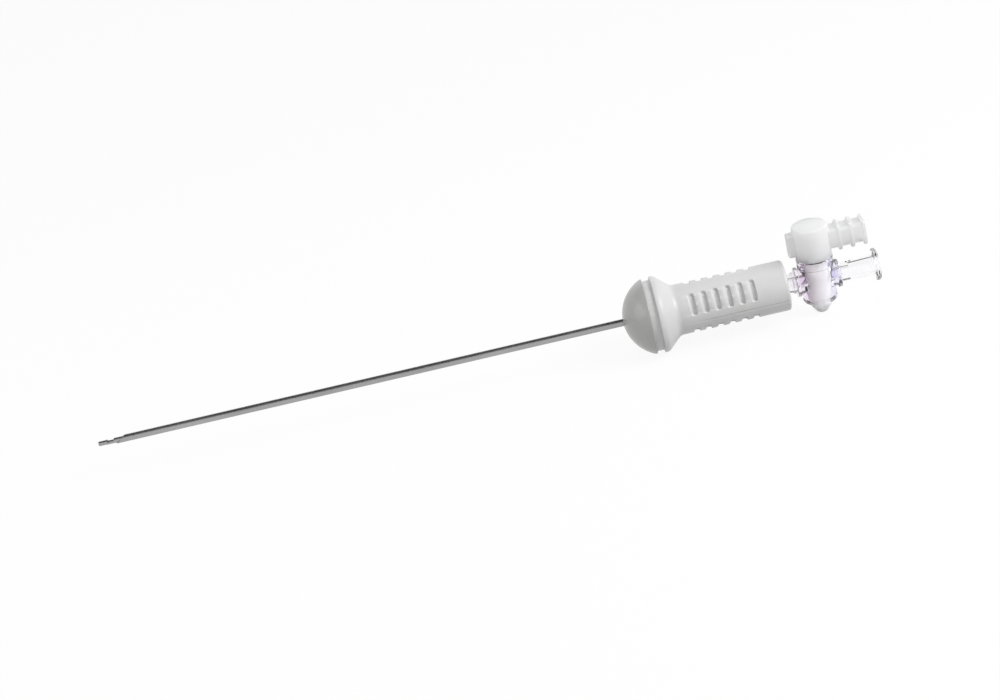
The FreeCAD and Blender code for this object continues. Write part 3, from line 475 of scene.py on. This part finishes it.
def half_shell(name):
    """One half with its middle upwards, closed along the parting line."""
    shell = turned(name, [
        (bell_front, spigot_radius + seat_gap),
        (bell_front, bell_radius),
        *crown,
        *hollow,
        (grip_end, grip_radius),
        (grip_end, shell_bore),
        (collar_rear, shell_bore),
        (collar_rear, collar_seat),
        (collar_front, collar_seat),
        (collar_front, shell_bore),
        (stop_ring_rear, shell_bore),
        (stop_ring_rear, stop_ring_bore),
        (stop_ring_front, stop_ring_bore),
        (stop_ring_front, shell_bore),
        (taper_end, shell_bore),
        (bulkhead_rear, taper_radius),
        (bulkhead_rear, socket_radius + seat_gap),
        (bulkhead_front, socket_radius + seat_gap),
        (bulkhead_front, spigot_radius + seat_gap),
    ], steps=72, sweep=math.pi)
    settle_piece(shell, turn=(math.pi / 2, 0, 0))
    for side in (-1, 1):
        open_alone(shell)
        pick_vertices(shell, lambda co: abs(co.z) < hair and co.y * side > 0)
        bpy.ops.mesh.edge_face_add()
        bpy.ops.object.mode_set(mode="OBJECT")
    open_alone(shell)
    bpy.ops.mesh.select_all(action="SELECT")
    bpy.ops.mesh.normals_make_consistent(inside=False)
    bpy.ops.object.mode_set(mode="OBJECT")
    if sum(vertex.co.z for vertex in shell.data.vertices) < 0:
        settle_piece(shell, turn=(math.pi, 0, 0))
    soften_rings(shell, [
        (bell_front, bell_radius, bell_edge),
        (grip_end, grip_radius, grip_edge),
        (grip_end, shell_bore, bore_edge),
    ], about_needle, 4)
    seam_length = grip_end - seam_front + seam_overrun
    wedge_side = seam_edge * math.sqrt(2)
    for side in (-1, 1):
        wedge = new_primitive(bpy.ops.mesh.primitive_cube_add, "seam_wedge", size=1,
                              stretch=(seam_length, wedge_side, wedge_side),
                              rotation=(math.pi / 4, 0, 0),
                              location=(seam_front + seam_length / 2, side * grip_radius, 0))
        combine(shell, wedge, "DIFFERENCE")
    return shell


def slot_row(name):
    """Cutter for one row: blocks with sloping walls and rounded ends, bent round the grip.

    Its levels give the height over the slot's floor and the flare at the lip, both as shares.
    """
    length = grip_radius * slot_arc
    slopes = slot_ramp + slot_draft
    still = slot_first + slot_width / 2 - slot_width * slot_draft / slopes
    row = new_primitive(bpy.ops.mesh.primitive_plane_add, name, size=1,
                        stretch=(slot_width, length, 1), rotation=(math.pi / 2, 0, 0),
                        location=(slot_first, slot_depth, 0))
    bpy.ops.object.mode_set(mode="EDIT")
    bpy.ops.mesh.select_mode(type="VERT")
    bpy.ops.mesh.select_all(action="SELECT")
    bpy.ops.mesh.bevel(offset=slot_corner, segments=6, affect="VERTICES")
    reach = 0
    for height, flare in slot_levels:
        bpy.ops.mesh.extrude_region_move(
            TRANSFORM_OT_translate={"value": (0, (reach - height) * slot_depth, 0)})
        reach = height
        mesh = bmesh.from_edit_mesh(row.data)
        chosen = [vertex.co for vertex in mesh.verts if vertex.select]
        wide = max(co.x for co in chosen) - min(co.x for co in chosen)
        tall = max(co.z for co in chosen) - min(co.z for co in chosen)
        new_wide = slot_width - slopes * (1 - height) + 2 * flare * slot_flare
        new_tall = length - 2 * slot_foot * (1 - height) + 2 * flare * slot_flare
        bpy.ops.transform.resize(value=(new_wide / wide, 1, new_tall / tall),
                                 center_override=(still, 0, 0))
    bpy.ops.mesh.select_all(action="DESELECT")
    pick_vertices(row, lambda co: abs(co.y - slot_depth) < hair)
    bpy.ops.mesh.edge_face_add()
    for step in range(1 - slot_slices // 2, slot_slices // 2):
        bpy.ops.mesh.select_all(action="SELECT")
        bpy.ops.mesh.bisect(plane_co=(0, 0, length * step / slot_slices), plane_no=(0, 0, 1))
    bpy.ops.mesh.select_all(action="SELECT")
    bpy.ops.mesh.normals_make_consistent(inside=False)
    bpy.ops.object.mode_set(mode="OBJECT")
    bend = row.modifiers.new("bend", "SIMPLE_DEFORM")
    bend.deform_method = "BEND"
    bend.deform_axis = "X"
    bend.angle = (length + 2 * slot_flare) / grip_radius
    repeat = row.modifiers.new("repeat", "ARRAY")
    repeat.count = slot_count
    repeat.use_relative_offset = False
    repeat.use_constant_offset = True
    repeat.constant_offset_displace = (slot_pitch, 0, 0)
    bpy.ops.object.modifier_apply(modifier="bend")
    bpy.ops.object.modifier_apply(modifier="repeat")
    settle_piece(row, move=(0, -grip_radius, 0))
    settle_piece(row, turn=(-math.pi / 2, 0, 0))
    return row


for name, node, turn in (("upper_half", "upper_shell", handle_turn),
                         ("lower_half", "lower_shell", handle_turn + math.pi)):
    half = half_shell(name)
    for side in (-1, 1):
        row = slot_row(f"{name}_slots")
        settle_piece(row, turn=(side * row_turn, 0, 0))
        combine(half, row, "DIFFERENCE")
    settle_piece(half, turn=(turn, 0, 0))
    finish_piece(half, "handle", [node], [grip_plastic], 50)

# Inside the handle: the cannula's hub with its rubber O-ring and gland ring, and the guide bush
# that closes the rear. The hub and the ring sit deep in the shells; the bush shows from behind.
bush_rear = 46.6e-3
bush_front = 41.6e-3
bush_radius = 5.63e-3
bush_collar = 6.03e-3
bush_bore = 3.25e-3
bush_edge = 0.15e-3

hub_plastic = moulded_plastic("hub_plastic", pale=(0.76, 0.76, 0.75), deep=(0.72, 0.72, 0.71),
                              smoothest=0.24, roughest=0.34, grain=4e-6)
seal_rubber, tree, shader = new_material("seal_rubber", roughness=0.6)
bloom = noise(tree, 900, 3)
rubber_tone = blend_colours(tree, bloom, (0.025, 0.025, 0.027), (0.05, 0.05, 0.05))
tree.links.new(rubber_tone, shader.inputs["Base Color"])
tree.links.new(spread(tree, bloom, 0.5, 0.7), shader.inputs["Roughness"])
for node, material in (("cannula_hub", hub_plastic),
                       ("stylet_seal", seal_rubber),
                       ("seal_retainer", hub_plastic)):
    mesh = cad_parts[node].data
    mesh.materials.clear()
    mesh.materials.append(material)

bush = turned("guide_bush", [
    (bush_front, bush_bore),
    (bush_front, bush_radius),
    (collar_front + seat_gap, bush_radius),
    (collar_front + seat_gap, bush_collar),
    (collar_rear - seat_gap, bush_collar),
    (collar_rear - seat_gap, bush_radius),
    (bush_rear, bush_radius),
    (bush_rear, bush_bore),
], steps=96)
soften_rings(bush, [
    (bush_rear, bush_radius, bush_edge),
    (bush_rear, bush_bore, bush_edge),
], about_needle)
finish_piece(bush, "handle", ["rear_bush"], [hub_plastic])

# Carriage: a turned plastic slide that holds the stylet, stops on a ring in the shells and
# takes the stopcock's cone in its tail. The steel return spring pushes it forwards.
flange_front = 19.9e-3
flange_rear = 21.9e-3
flange_edge = 0.2e-3
carriage_radius = 5.35e-3
carriage_nose = 2.2e-3
nose_length = 2.5e-3
stylet_seat = 0.77e-3
shoulder_radius = 3.6e-3
shoulder_end = 34.5e-3
tail_radius = 3.2e-3
tail_end = 46.2e-3
tail_edge = 0.15e-3
socket_mouth = 2.24e-3
socket_foot = 2.02e-3
pocket_radius = 1.2e-3
cone_front = 39.0e-3
spring_wire = 0.3e-3
spring_turns = 7
spring_radius = 4.1e-3
coil_weld = 1e-6

carriage = turned("carriage_slide", [
    (flange_front - nose_length, stylet_seat),
    (flange_front - nose_length, carriage_nose),
    (flange_front, carriage_nose),
    (flange_front, carriage_radius),
    (flange_rear, carriage_radius),
    (flange_rear, shoulder_radius),
    (shoulder_end, shoulder_radius),
    (shoulder_end, tail_radius),
    (tail_end, tail_radius),
    (tail_end, socket_mouth),
    (cone_front, socket_foot),
    (cone_front, pocket_radius),
    (stylet_rear, pocket_radius),
    (stylet_rear, stylet_seat),
], steps=64)
soften_rings(carriage, [
    (tail_end, tail_radius, tail_edge),
    (flange_front, carriage_radius, flange_edge),
], about_needle)
finish_piece(carriage, "carriage", ["stylet_hub"], [hub_plastic])

spring_steel = drawn_steel("spring_steel", clean=(0.58, 0.57, 0.55), dull=(0.48, 0.47, 0.46),
                           smoothest=0.18, roughest=0.3)
spring_start = flange_rear + spring_wire + seat_gap
spring_length = bush_front - flange_rear - 2 * spring_wire - 2 * seat_gap
spring = new_primitive(bpy.ops.mesh.primitive_circle_add, "return_coil", vertices=12,
                       radius=spring_wire, fill_type="NGON", rotation=(math.pi / 2, 0, 0),
                       location=(spring_start, 0, spring_radius))
coil = spring.modifiers.new("coil", "SCREW")
coil.axis = "X"
coil.angle = math.tau
coil.iterations = spring_turns
coil.screw_offset = spring_length / spring_turns
coil.steps = coil.render_steps = 32
bpy.ops.object.modifier_apply(modifier="coil")
open_alone(spring)
bpy.ops.mesh.select_all(action="SELECT")
bpy.ops.mesh.remove_doubles(threshold=coil_weld)
bpy.ops.mesh.normals_make_consistent(inside=False)
bpy.ops.object.mode_set(mode="OBJECT")
finish_piece(spring, "handle", ["return_spring"], [spring_steel], 60)
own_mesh(spring)

# Stopcock body: one clear lavender moulding. A barrel takes the valve plug, an arm with two
# discs plugs into the carriage, and an inlet tube ends in the flange that a gas hose locks on.
plug_axis = 56.3e-3
body_radius = 4.9e-3
body_bottom = -6.8e-3
body_top = 6.5e-3
body_round = 0.9e-3
collar_bottom = 4.1e-3
collar_radius = 5.2e-3
relief_width = 0.45e-3
relief_depth = 0.35e-3
plug_bore = 3.43e-3
neck_bore = 2.6e-3
floor_top = -5.6e-3
arm_radius = 2.75e-3
front_disc_radius = 4.25e-3
rear_disc_radius = 4.0e-3
disc_near = 5.35e-3
disc_far = 6.35e-3
ring_near = 6.75e-3
ring_far = 7.35e-3
ring_radius = 3.1e-3
cone_seat = 10.0e-3
cone_tip = 17.3e-3
cone_radius = 2.0e-3
cone_rear_radius = 2.219e-3
inlet_end = 17.45e-3
flange_width = 1.3e-3
flange_radius = 4.6e-3
inlet_mouth = 2.15e-3
inlet_land = 1.5e-3
inlet_foot = 1.94e-3
inlet_depth = 8.5e-3
gas_way = 1.2e-3
lug_inner = 3.9e-3
lug_outer = 4.6e-3
lug_height = 1.0e-3
lug_turn = math.radians(225)
lug_span = math.radians(20)
mark_radius = 0.3e-3
mark_places = (8.6e-3, 9.6e-3)
tint_and_shade_reach = 8e-3
collar_edge = 0.12e-3
top_edge = 0.2e-3
disc_edge = 0.15e-3
disc_step = 0.5e-3
ring_edge = 0.1e-3
inlet_root = 0.2e-3
flange_back = 0.45e-3
flange_face = 0.5e-3
union_depth = 0.5e-3
hole_overrun = 1e-3
lug_root = 0.2e-3


def upright(name, outline, steps=96):
    """Outline of (height, out) pairs, turned about the valve's axis."""
    points = [Vector((plug_axis + out, 0, height)) for height, out in outline]
    return spun_outline(name, points, Vector((plug_axis, 0, 0)), (0, 0, 1), steps)


def ring_sector(name, inner, outer, low, high, first, last):
    """Closed piece of a ring about the valve's axis, from a first to a last angle."""
    corners = [Vector((out, 0, height)) for out, height in (
        (inner, low), (outer, low), (outer, high), (inner, high))]
    sector = spun_outline(name, corners, Vector((0, 0, 0)), (0, 0, 1), 24, last - first)
    open_alone(sector)
    bpy.ops.mesh.select_all(action="SELECT")
    bpy.ops.mesh.fill_holes(sides=0)
    bpy.ops.mesh.normals_make_consistent(inside=False)
    bpy.ops.object.mode_set(mode="OBJECT")
    sweep_end = max(math.atan2(vertex.co.y, vertex.co.x) for vertex in sector.data.vertices)
    start = first if sweep_end > hair else last
    settle_piece(sector, move=(plug_axis, 0, 0), turn=(0, 0, start))
    return sector


def about_valve(co):
    """A point's height and its distance from the valve's axis."""
    return co.z, math.hypot(co.x - plug_axis, co.y)


def from_valve(name, outline, steps=96):
    """Outline of (distance behind the valve's axis, out) pairs, turned about the needle axis."""
    return turned(name, [(plug_axis + along, out) for along, out in outline], steps)


def weld_skin(piece):
    """Welds corners that the cuts left within a hair of each other, so the skin stays closed."""
    open_alone(piece)
    bpy.ops.mesh.select_all(action="SELECT")
    bpy.ops.mesh.remove_doubles(threshold=hair)
    bpy.ops.object.mode_set(mode="OBJECT")


clear_plastic, tree, shader = new_material("clear_plastic", roughness=0.05)
shader.inputs["Transmission Weight"].default_value = 1
shader.inputs["IOR"].default_value = 1.52
flow = noise(tree, 260, 3)
spot = tree.nodes.new("ShaderNodeTexCoord")
axes = tree.nodes.new("ShaderNodeSeparateXYZ")
tree.links.new(spot.outputs["Object"], axes.inputs["Vector"])
# The lavender tint runs along the needle. It is deeper purple towards the front disc and bluer
# towards the rear disc, painted shade that stands in for the dark spots the discs refract. It is
# paler in the middle, a painted lightening of the plug seen through the wall.
along = spread(tree, axes.outputs["X"], 0, 1, plug_axis - tint_and_shade_reach, plug_axis + tint_and_shade_reach)
tint_and_painted_shade = tree.nodes.new("ShaderNodeValToRGB")
for place, colour in ((0.1, (0.93, 0.91, 0.95)),
                      (0.25, (0.86, 0.74, 0.88)),
                      (0.38, (0.985, 0.96, 0.985)),
                      (0.62, (0.98, 0.962, 0.988)),
                      (0.79, (0.78, 0.76, 0.93)),
                      (0.93, (0.985, 0.98, 0.99))):
    stop = tint_and_painted_shade.color_ramp.elements.new(place)
    stop.color = (*colour, 1)
tint_and_painted_shade.color_ramp.elements[0].color = (0.97, 0.955, 0.98, 1)
tint_and_painted_shade.color_ramp.elements[-1].color = (0.985, 0.98, 0.99, 1)
tree.links.new(along, tint_and_painted_shade.inputs["Fac"])
tree.links.new(tint_and_painted_shade.outputs["Color"], shader.inputs["Base Color"])
tree.links.new(spread(tree, flow, 0.02, 0.07), shader.inputs["Roughness"])
raise_bumps(tree, shader, flow, 2e-5, 0.3)

body = upright("valve_body", [
    (body_bottom, 0),
    (body_bottom, body_radius),
    (collar_bottom - relief_width, body_radius),
    (collar_bottom, body_radius - relief_depth),
    (collar_bottom, collar_radius),
    (body_top, collar_radius),
    (body_top, 0),
], steps=128)
soften_rings(body, [
    (body_bottom, body_radius, body_round),
    (collar_bottom, collar_radius, collar_edge),
    (body_top, collar_radius, top_edge),
], about_valve, 4)
front_arm = from_valve("front_arm", [
    (-plug_bore + union_depth, 0),
    (-plug_bore + union_depth, front_disc_radius - disc_step),
    (-disc_near, front_disc_radius - disc_step),
    (-disc_near, front_disc_radius),
    (-disc_far, front_disc_radius),
    (-disc_far, arm_radius),
    (-ring_near, arm_radius),
    (-ring_near, ring_radius),
    (-ring_far, ring_radius),
    (-ring_far, arm_radius),
    (-cone_seat, arm_radius),
    (-cone_seat, cone_rear_radius),
    (-cone_tip, cone_radius),
    (-cone_tip, 0),
])
soften_rings(front_arm, [(plug_axis + along, out, size) for along, out, size in (
    (-disc_near, front_disc_radius, disc_edge),
    (-disc_far, front_disc_radius, disc_edge),
    (-disc_far, arm_radius, disc_edge),
    (-ring_near, ring_radius, ring_edge),
    (-ring_far, ring_radius, ring_edge),
    (-cone_seat, arm_radius, disc_edge),
)], about_needle)
combine(body, front_arm, "UNION")
inlet_tube = from_valve("inlet_tube", [
    (plug_bore - union_depth, 0),
    (plug_bore - union_depth, rear_disc_radius - disc_step),
    (disc_near, rear_disc_radius - disc_step),
    (disc_near, rear_disc_radius),
    (disc_far, rear_disc_radius),
    (disc_far, arm_radius),
    (inlet_end - flange_width, arm_radius),
    (inlet_end - flange_width, flange_radius),
    (inlet_end, flange_radius),
    (inlet_end, 0),
])
soften_rings(inlet_tube, [(plug_axis + along, out, size) for along, out, size in (
    (disc_near, rear_disc_radius, disc_edge),
    (disc_far, rear_disc_radius, disc_edge),
    (disc_far, arm_radius, inlet_root),
    (inlet_end - flange_width, arm_radius, inlet_root),
    (inlet_end - flange_width, flange_radius, flange_back),
    (inlet_end, flange_radius, flange_face),
)], about_needle)
combine(body, inlet_tube, "UNION")
combine(body, upright("plug_hole", [
    (2 * body_bottom, 0),
    (2 * body_bottom, neck_bore),
    (floor_top, neck_bore),
    (floor_top, plug_bore),
    (2 * body_top, plug_bore),
    (2 * body_top, 0),
]), "DIFFERENCE")
combine(body, from_valve("gas_hole", [
    (-2 * cone_tip, 0),
    (-2 * cone_tip, gas_way),
    (inlet_end - inlet_depth, gas_way),
    (inlet_end - inlet_depth, inlet_foot),
    (inlet_end - inlet_land, inlet_mouth),
    (inlet_end + hole_overrun, inlet_mouth),
    (inlet_end + hole_overrun, 0),
], 72), "DIFFERENCE")
weld_skin(body)
combine(body, ring_sector("stop_lug", lug_inner, lug_outer, body_top - lug_root,
                          body_top + lug_height, lug_turn - lug_span / 2,
                          lug_turn + lug_span / 2), "UNION")
for along in mark_places:
    mark = new_primitive(bpy.ops.mesh.primitive_uv_sphere_add, "mould_mark", segments=16,
                         ring_count=8, radius=mark_radius,
                         location=(plug_axis + along, 0, arm_radius))
    combine(body, mark, "UNION")
finish_piece(body, "carriage", ["stopcock_body"], [clear_plastic], 40)
# The clear wall lets the lamps through to the plug inside, so it casts no shadow of its own.
body.visible_shadow = False

# Valve lever: plug, cap, wing and ribbed arm, moulded in one from milky polyethylene. The plug
# turns in the clear body and snaps in with a cone that shows underneath.
plug_radius = 3.38e-3
plug_neck = 2.55e-3
snap_top = -6.9e-3
snap_bend = -8.2e-3
snap_bottom = -10.3e-3
snap_radius = 2.95e-3
snap_end = 1.5e-3
cap_bottom = 6.7e-3
cap_top = 16.5e-3
cap_radius = 5.1e-3
arm_middle = 11.6e-3
arm_height = 5.9e-3
arm_width = 5.2e-3
arm_end = 15.2e-3
rib_height = 7.9e-3
rib_breadth = 5.6e-3
rib_width = 1.1e-3
rib_pitch = 3.55e-3
rib_count = 3
wing_reach = 6.9e-3
wing_height = 6.8e-3
wing_width = 3.2e-3
track_gap = 0.05e-3
track_start = math.radians(124)
track_end = math.radians(236)
floor_gap = 0.05e-3
way_reach = 5e-3
snap_edge = 0.1e-3
snap_crest = 0.15e-3
cap_edge = 0.2e-3
cap_round = 0.5e-3
arm_corner = 1e-3
wing_corner = 0.7e-3
rib_corner = 1.4e-3
rib_end = 0.4e-3

milky_plastic, tree, shader = new_material("milky_plastic", roughness=0.5)
shader.inputs["Subsurface Weight"].default_value = 1
shader.inputs["Subsurface Radius"].default_value = (1.0, 0.95, 0.9)
shader.inputs["Subsurface Scale"].default_value = 8e-3
shader.inputs["Transmission Weight"].default_value = 0.25
shader.inputs["IOR"].default_value = 1.5
skin = tree.nodes.new("ShaderNodeGroup")
skin.node_tree = moulded_skin
cloud = spread(tree, skin.outputs["Mottle"], 0, 1)
milk_tone = blend_colours(tree, cloud, (0.95, 0.94, 0.935), (0.93, 0.92, 0.915))
tree.links.new(milk_tone, shader.inputs["Base Color"])
tree.links.new(spread(tree, skin.outputs["Mottle"], 0.45, 0.55), shader.inputs["Roughness"])
raise_bumps(tree, shader, skin.outputs["Grain"], 6e-6, 0.5)


def rounded_bar(name, start, length, height, width, corner, end_round=0.2e-3):
    """Bar along the needle with rounded long edges and softened ends."""
    bar = new_primitive(bpy.ops.mesh.primitive_cube_add, name, size=1,
                        stretch=(length, width, height),
                        location=(plug_axis + start + length / 2, 0, arm_middle))
    mesh = open_alone(bar)
    for edge in mesh.edges:
        edge.select = abs(edge.verts[0].co.x - edge.verts[1].co.x) > length / 2
    bmesh.update_edit_mesh(bar.data)
    bpy.ops.mesh.select_mode(type="EDGE")
    bpy.ops.mesh.bevel(offset=corner, segments=6, affect="EDGES")
    mesh = bmesh.from_edit_mesh(bar.data)
    for edge in mesh.edges:
        edge.select = abs(edge.verts[0].co.x - edge.verts[1].co.x) < hair
    bmesh.update_edit_mesh(bar.data)
    bpy.ops.mesh.bevel(offset=end_round, segments=3, affect="EDGES")
    bpy.ops.object.mode_set(mode="OBJECT")
    return bar


lever = upright("lever", [
    (snap_bottom, 0),
    (snap_bottom, snap_end),
    (snap_bend, snap_radius),
    (snap_top, snap_radius),
    (snap_top, plug_neck),
    (floor_top + floor_gap, plug_neck),
    (floor_top + floor_gap, plug_radius),
    (cap_bottom, plug_radius),
    (cap_bottom, cap_radius),
    (cap_top, cap_radius),
    (cap_top, 0),
], steps=128)
soften_rings(lever, [
    (snap_bottom, snap_end, snap_edge),
    (snap_bend, snap_radius, snap_crest),
    (snap_top, snap_radius, snap_edge),
    (cap_bottom, cap_radius, cap_edge),
    (cap_top, cap_radius, cap_round),
], about_valve, 4)
arm = rounded_bar("lever_arm", 0, arm_end, arm_height, arm_width, arm_corner)
combine(lever, arm, "UNION")
wing = rounded_bar("lever_wing", -wing_reach, wing_reach, wing_height, wing_width, wing_corner)
combine(lever, wing, "UNION")
for index in range(rib_count):
    rib_start = arm_end - rib_width - rib_pitch * index
    rib = rounded_bar(f"rib_{index}", rib_start, rib_width, rib_height, rib_breadth,
                      rib_corner, rib_end)
    combine(lever, rib, "UNION")
track = ring_sector("stop_track", lug_inner - track_gap, lug_outer + track_gap, body_top,
                    body_top + lug_height + 2 * track_gap, track_start, track_end)
combine(lever, track, "DIFFERENCE")
combine(lever, from_valve("plug_way", [
    (-way_reach, 0),
    (-way_reach, gas_way),
    (way_reach, gas_way),
    (way_reach, 0),
], 48), "DIFFERENCE")
finish_piece(lever, "lever", ["valve_lever"], [milky_plastic], 40)

# Photographer's table: a white sweep that looks evenly bright and keeps the object's shadow.
# Only glossy faces mirror the black card overhead, and only a look through plastic shows the two
# grey flags. A soft lamp shines from the right and above, with weak ones overhead and on the left.
table_height = -10.95e-3
table_size = 6
table_tone = 0.5
table_glow = 1.06
glow_cast = 0.08
glow_seen = 0.87
room_light = 0.6
room_seen = 1.0
card_tone = 0.05
flag_tone = 0.2


def stage_material(name):
    """Empty material of the stage, with its tree and its output."""
    material = bpy.data.materials.new(name)
    material.use_nodes = True
    tree = material.node_tree
    tree.nodes.clear()
    return tree, tree.nodes.new("ShaderNodeOutputMaterial"), material


def matt_material(name, tone):
    """Plain matt material of the stage, in one grey tone."""
    tree, output, material = stage_material(name)
    cloth = tree.nodes.new("ShaderNodeBsdfDiffuse")
    cloth.inputs["Color"].default_value = (tone, tone, tone, 1)
    tree.links.new(cloth.outputs["BSDF"], output.inputs["Surface"])
    return material


def by_sight(tree, unseen, seen):
    """One value for rays that see a thing, also mirrored or through glass, one for its light."""
    path = tree.nodes.new("ShaderNodeLightPath")
    mask = path.outputs["Is Camera Ray"]
    for label in ("Is Transmission Ray", "Is Glossy Ray"):
        either = tree.nodes.new("ShaderNodeMath")
        either.operation = "MAXIMUM"
        tree.links.new(mask, either.inputs[0])
        tree.links.new(path.outputs[label], either.inputs[1])
        mask = either.outputs["Value"]
    return spread(tree, mask, unseen, seen, 0, 1)


tree, output, table_white = stage_material("table_white")
paper = tree.nodes.new("ShaderNodeBsdfDiffuse")
paper.inputs["Color"].default_value = (table_tone, table_tone, table_tone, 1)
glow = tree.nodes.new("ShaderNodeEmission")
glow.inputs["Strength"].default_value = table_glow
whiten = tree.nodes.new("ShaderNodeMixShader")
tree.links.new(by_sight(tree, glow_cast, glow_seen), whiten.inputs["Fac"])
tree.links.new(paper.outputs["BSDF"], whiten.inputs[1])
tree.links.new(glow.outputs["Emission"], whiten.inputs[2])
tree.links.new(whiten.outputs["Shader"], output.inputs["Surface"])
table = new_primitive(bpy.ops.mesh.primitive_plane_add, "table", size=table_size,
                      location=(0, 0, table_height))
table.data.materials.append(table_white)

card = new_primitive(bpy.ops.mesh.primitive_plane_add, "overhead_card", size=1,
                     stretch=(0.75, 0.8, 1), location=(-0.125, 0.08, 0.35))
card.data.materials.append(matt_material("card_black", card_tone))
card.visible_camera = card.visible_diffuse = card.visible_shadow = card.visible_transmission = False

flag_grey = matt_material("flag_grey", flag_tone)
for name, stretch, rotation, location in (
        ("rear_flag", (0.6, 0.22, 1), (math.pi / 2, 0, 0), (0.06, 0.4, 0.2)),
        ("right_flag", (0.24, 0.5, 1), (0, math.pi / 2, 0), (0.45, 0.1, 0.13))):
    flag = new_primitive(bpy.ops.mesh.primitive_plane_add, name, size=1, stretch=stretch,
                         rotation=rotation, location=location)
    flag.data.materials.append(flag_grey)
    flag.visible_camera = flag.visible_diffuse = flag.visible_shadow = flag.visible_glossy = False


def soft_lamp(name, place, aim, size, power):
    """Round soft lamp at a place, turned towards its aim."""
    lamp = bpy.data.lights.new(name, "AREA")
    lamp.shape = "DISK"
    lamp.size = size
    lamp.energy = power
    holder = bpy.data.objects.new(name, lamp)
    bpy.context.scene.collection.objects.link(holder)
    holder.location = place
    holder.rotation_euler = (Vector(aim) - Vector(place)).to_track_quat("-Z", "Y").to_euler()


soft_lamp("key_lamp", place=(0.44, -0.18, 0.36), aim=(0.02, 0, 0), size=0.30, power=2.35)
soft_lamp("top_lamp", place=(0.05, 0.05, 0.60), aim=(0.02, 0, 0), size=0.30, power=0.25)
soft_lamp("side_lamp", place=(-0.50, -0.09, 0.23), aim=(0, 0, 0), size=0.40, power=0.6)

world = bpy.data.worlds.new("white_room")
bpy.context.scene.world = world
world.use_nodes = True
tree = world.node_tree
background = tree.nodes["Background"]
background.inputs["Color"].default_value = (1, 1, 1, 1)
tree.links.new(by_sight(tree, room_light, room_seen), background.inputs["Strength"])

# Camera: a long lens that looks from the front, from above and a little from the right.
# It is rolled to the side, so that the needle climbs across the picture.
image_width = 1000
focal_pixels = 1800
sensor_width = 36
camera_target = Vector((-0.03592, 0, 0.00032))
camera_turn = math.radians(2.97)
camera_tilt = math.radians(25.75)
camera_roll = math.radians(14.35)
camera_distance = 0.5137

backwards = Vector((math.sin(camera_turn) * math.cos(camera_tilt),
                    -math.cos(camera_turn) * math.cos(camera_tilt),
                    math.sin(camera_tilt)))
level_right = (-backwards).cross(Vector((0, 0, 1))).normalized()
level_up = level_right.cross(-backwards)
right = level_right * math.cos(camera_roll) - level_up * math.sin(camera_roll)
up = level_right * math.sin(camera_roll) + level_up * math.cos(camera_roll)
place = camera_target + backwards * camera_distance
bpy.ops.object.camera_add()
camera = bpy.context.object
camera.data.sensor_width = sensor_width
camera.data.lens = focal_pixels * sensor_width / image_width
camera.data.clip_start = 0.01
camera.matrix_world = Matrix((
    (right.x, up.x, backwards.x, place.x),
    (right.y, up.y, backwards.y, place.y),
    (right.z, up.z, backwards.z, place.z),
    (0, 0, 0, 1),
))
bpy.context.scene.camera = camera
bpy.context.scene.view_settings.view_transform = "Standard"
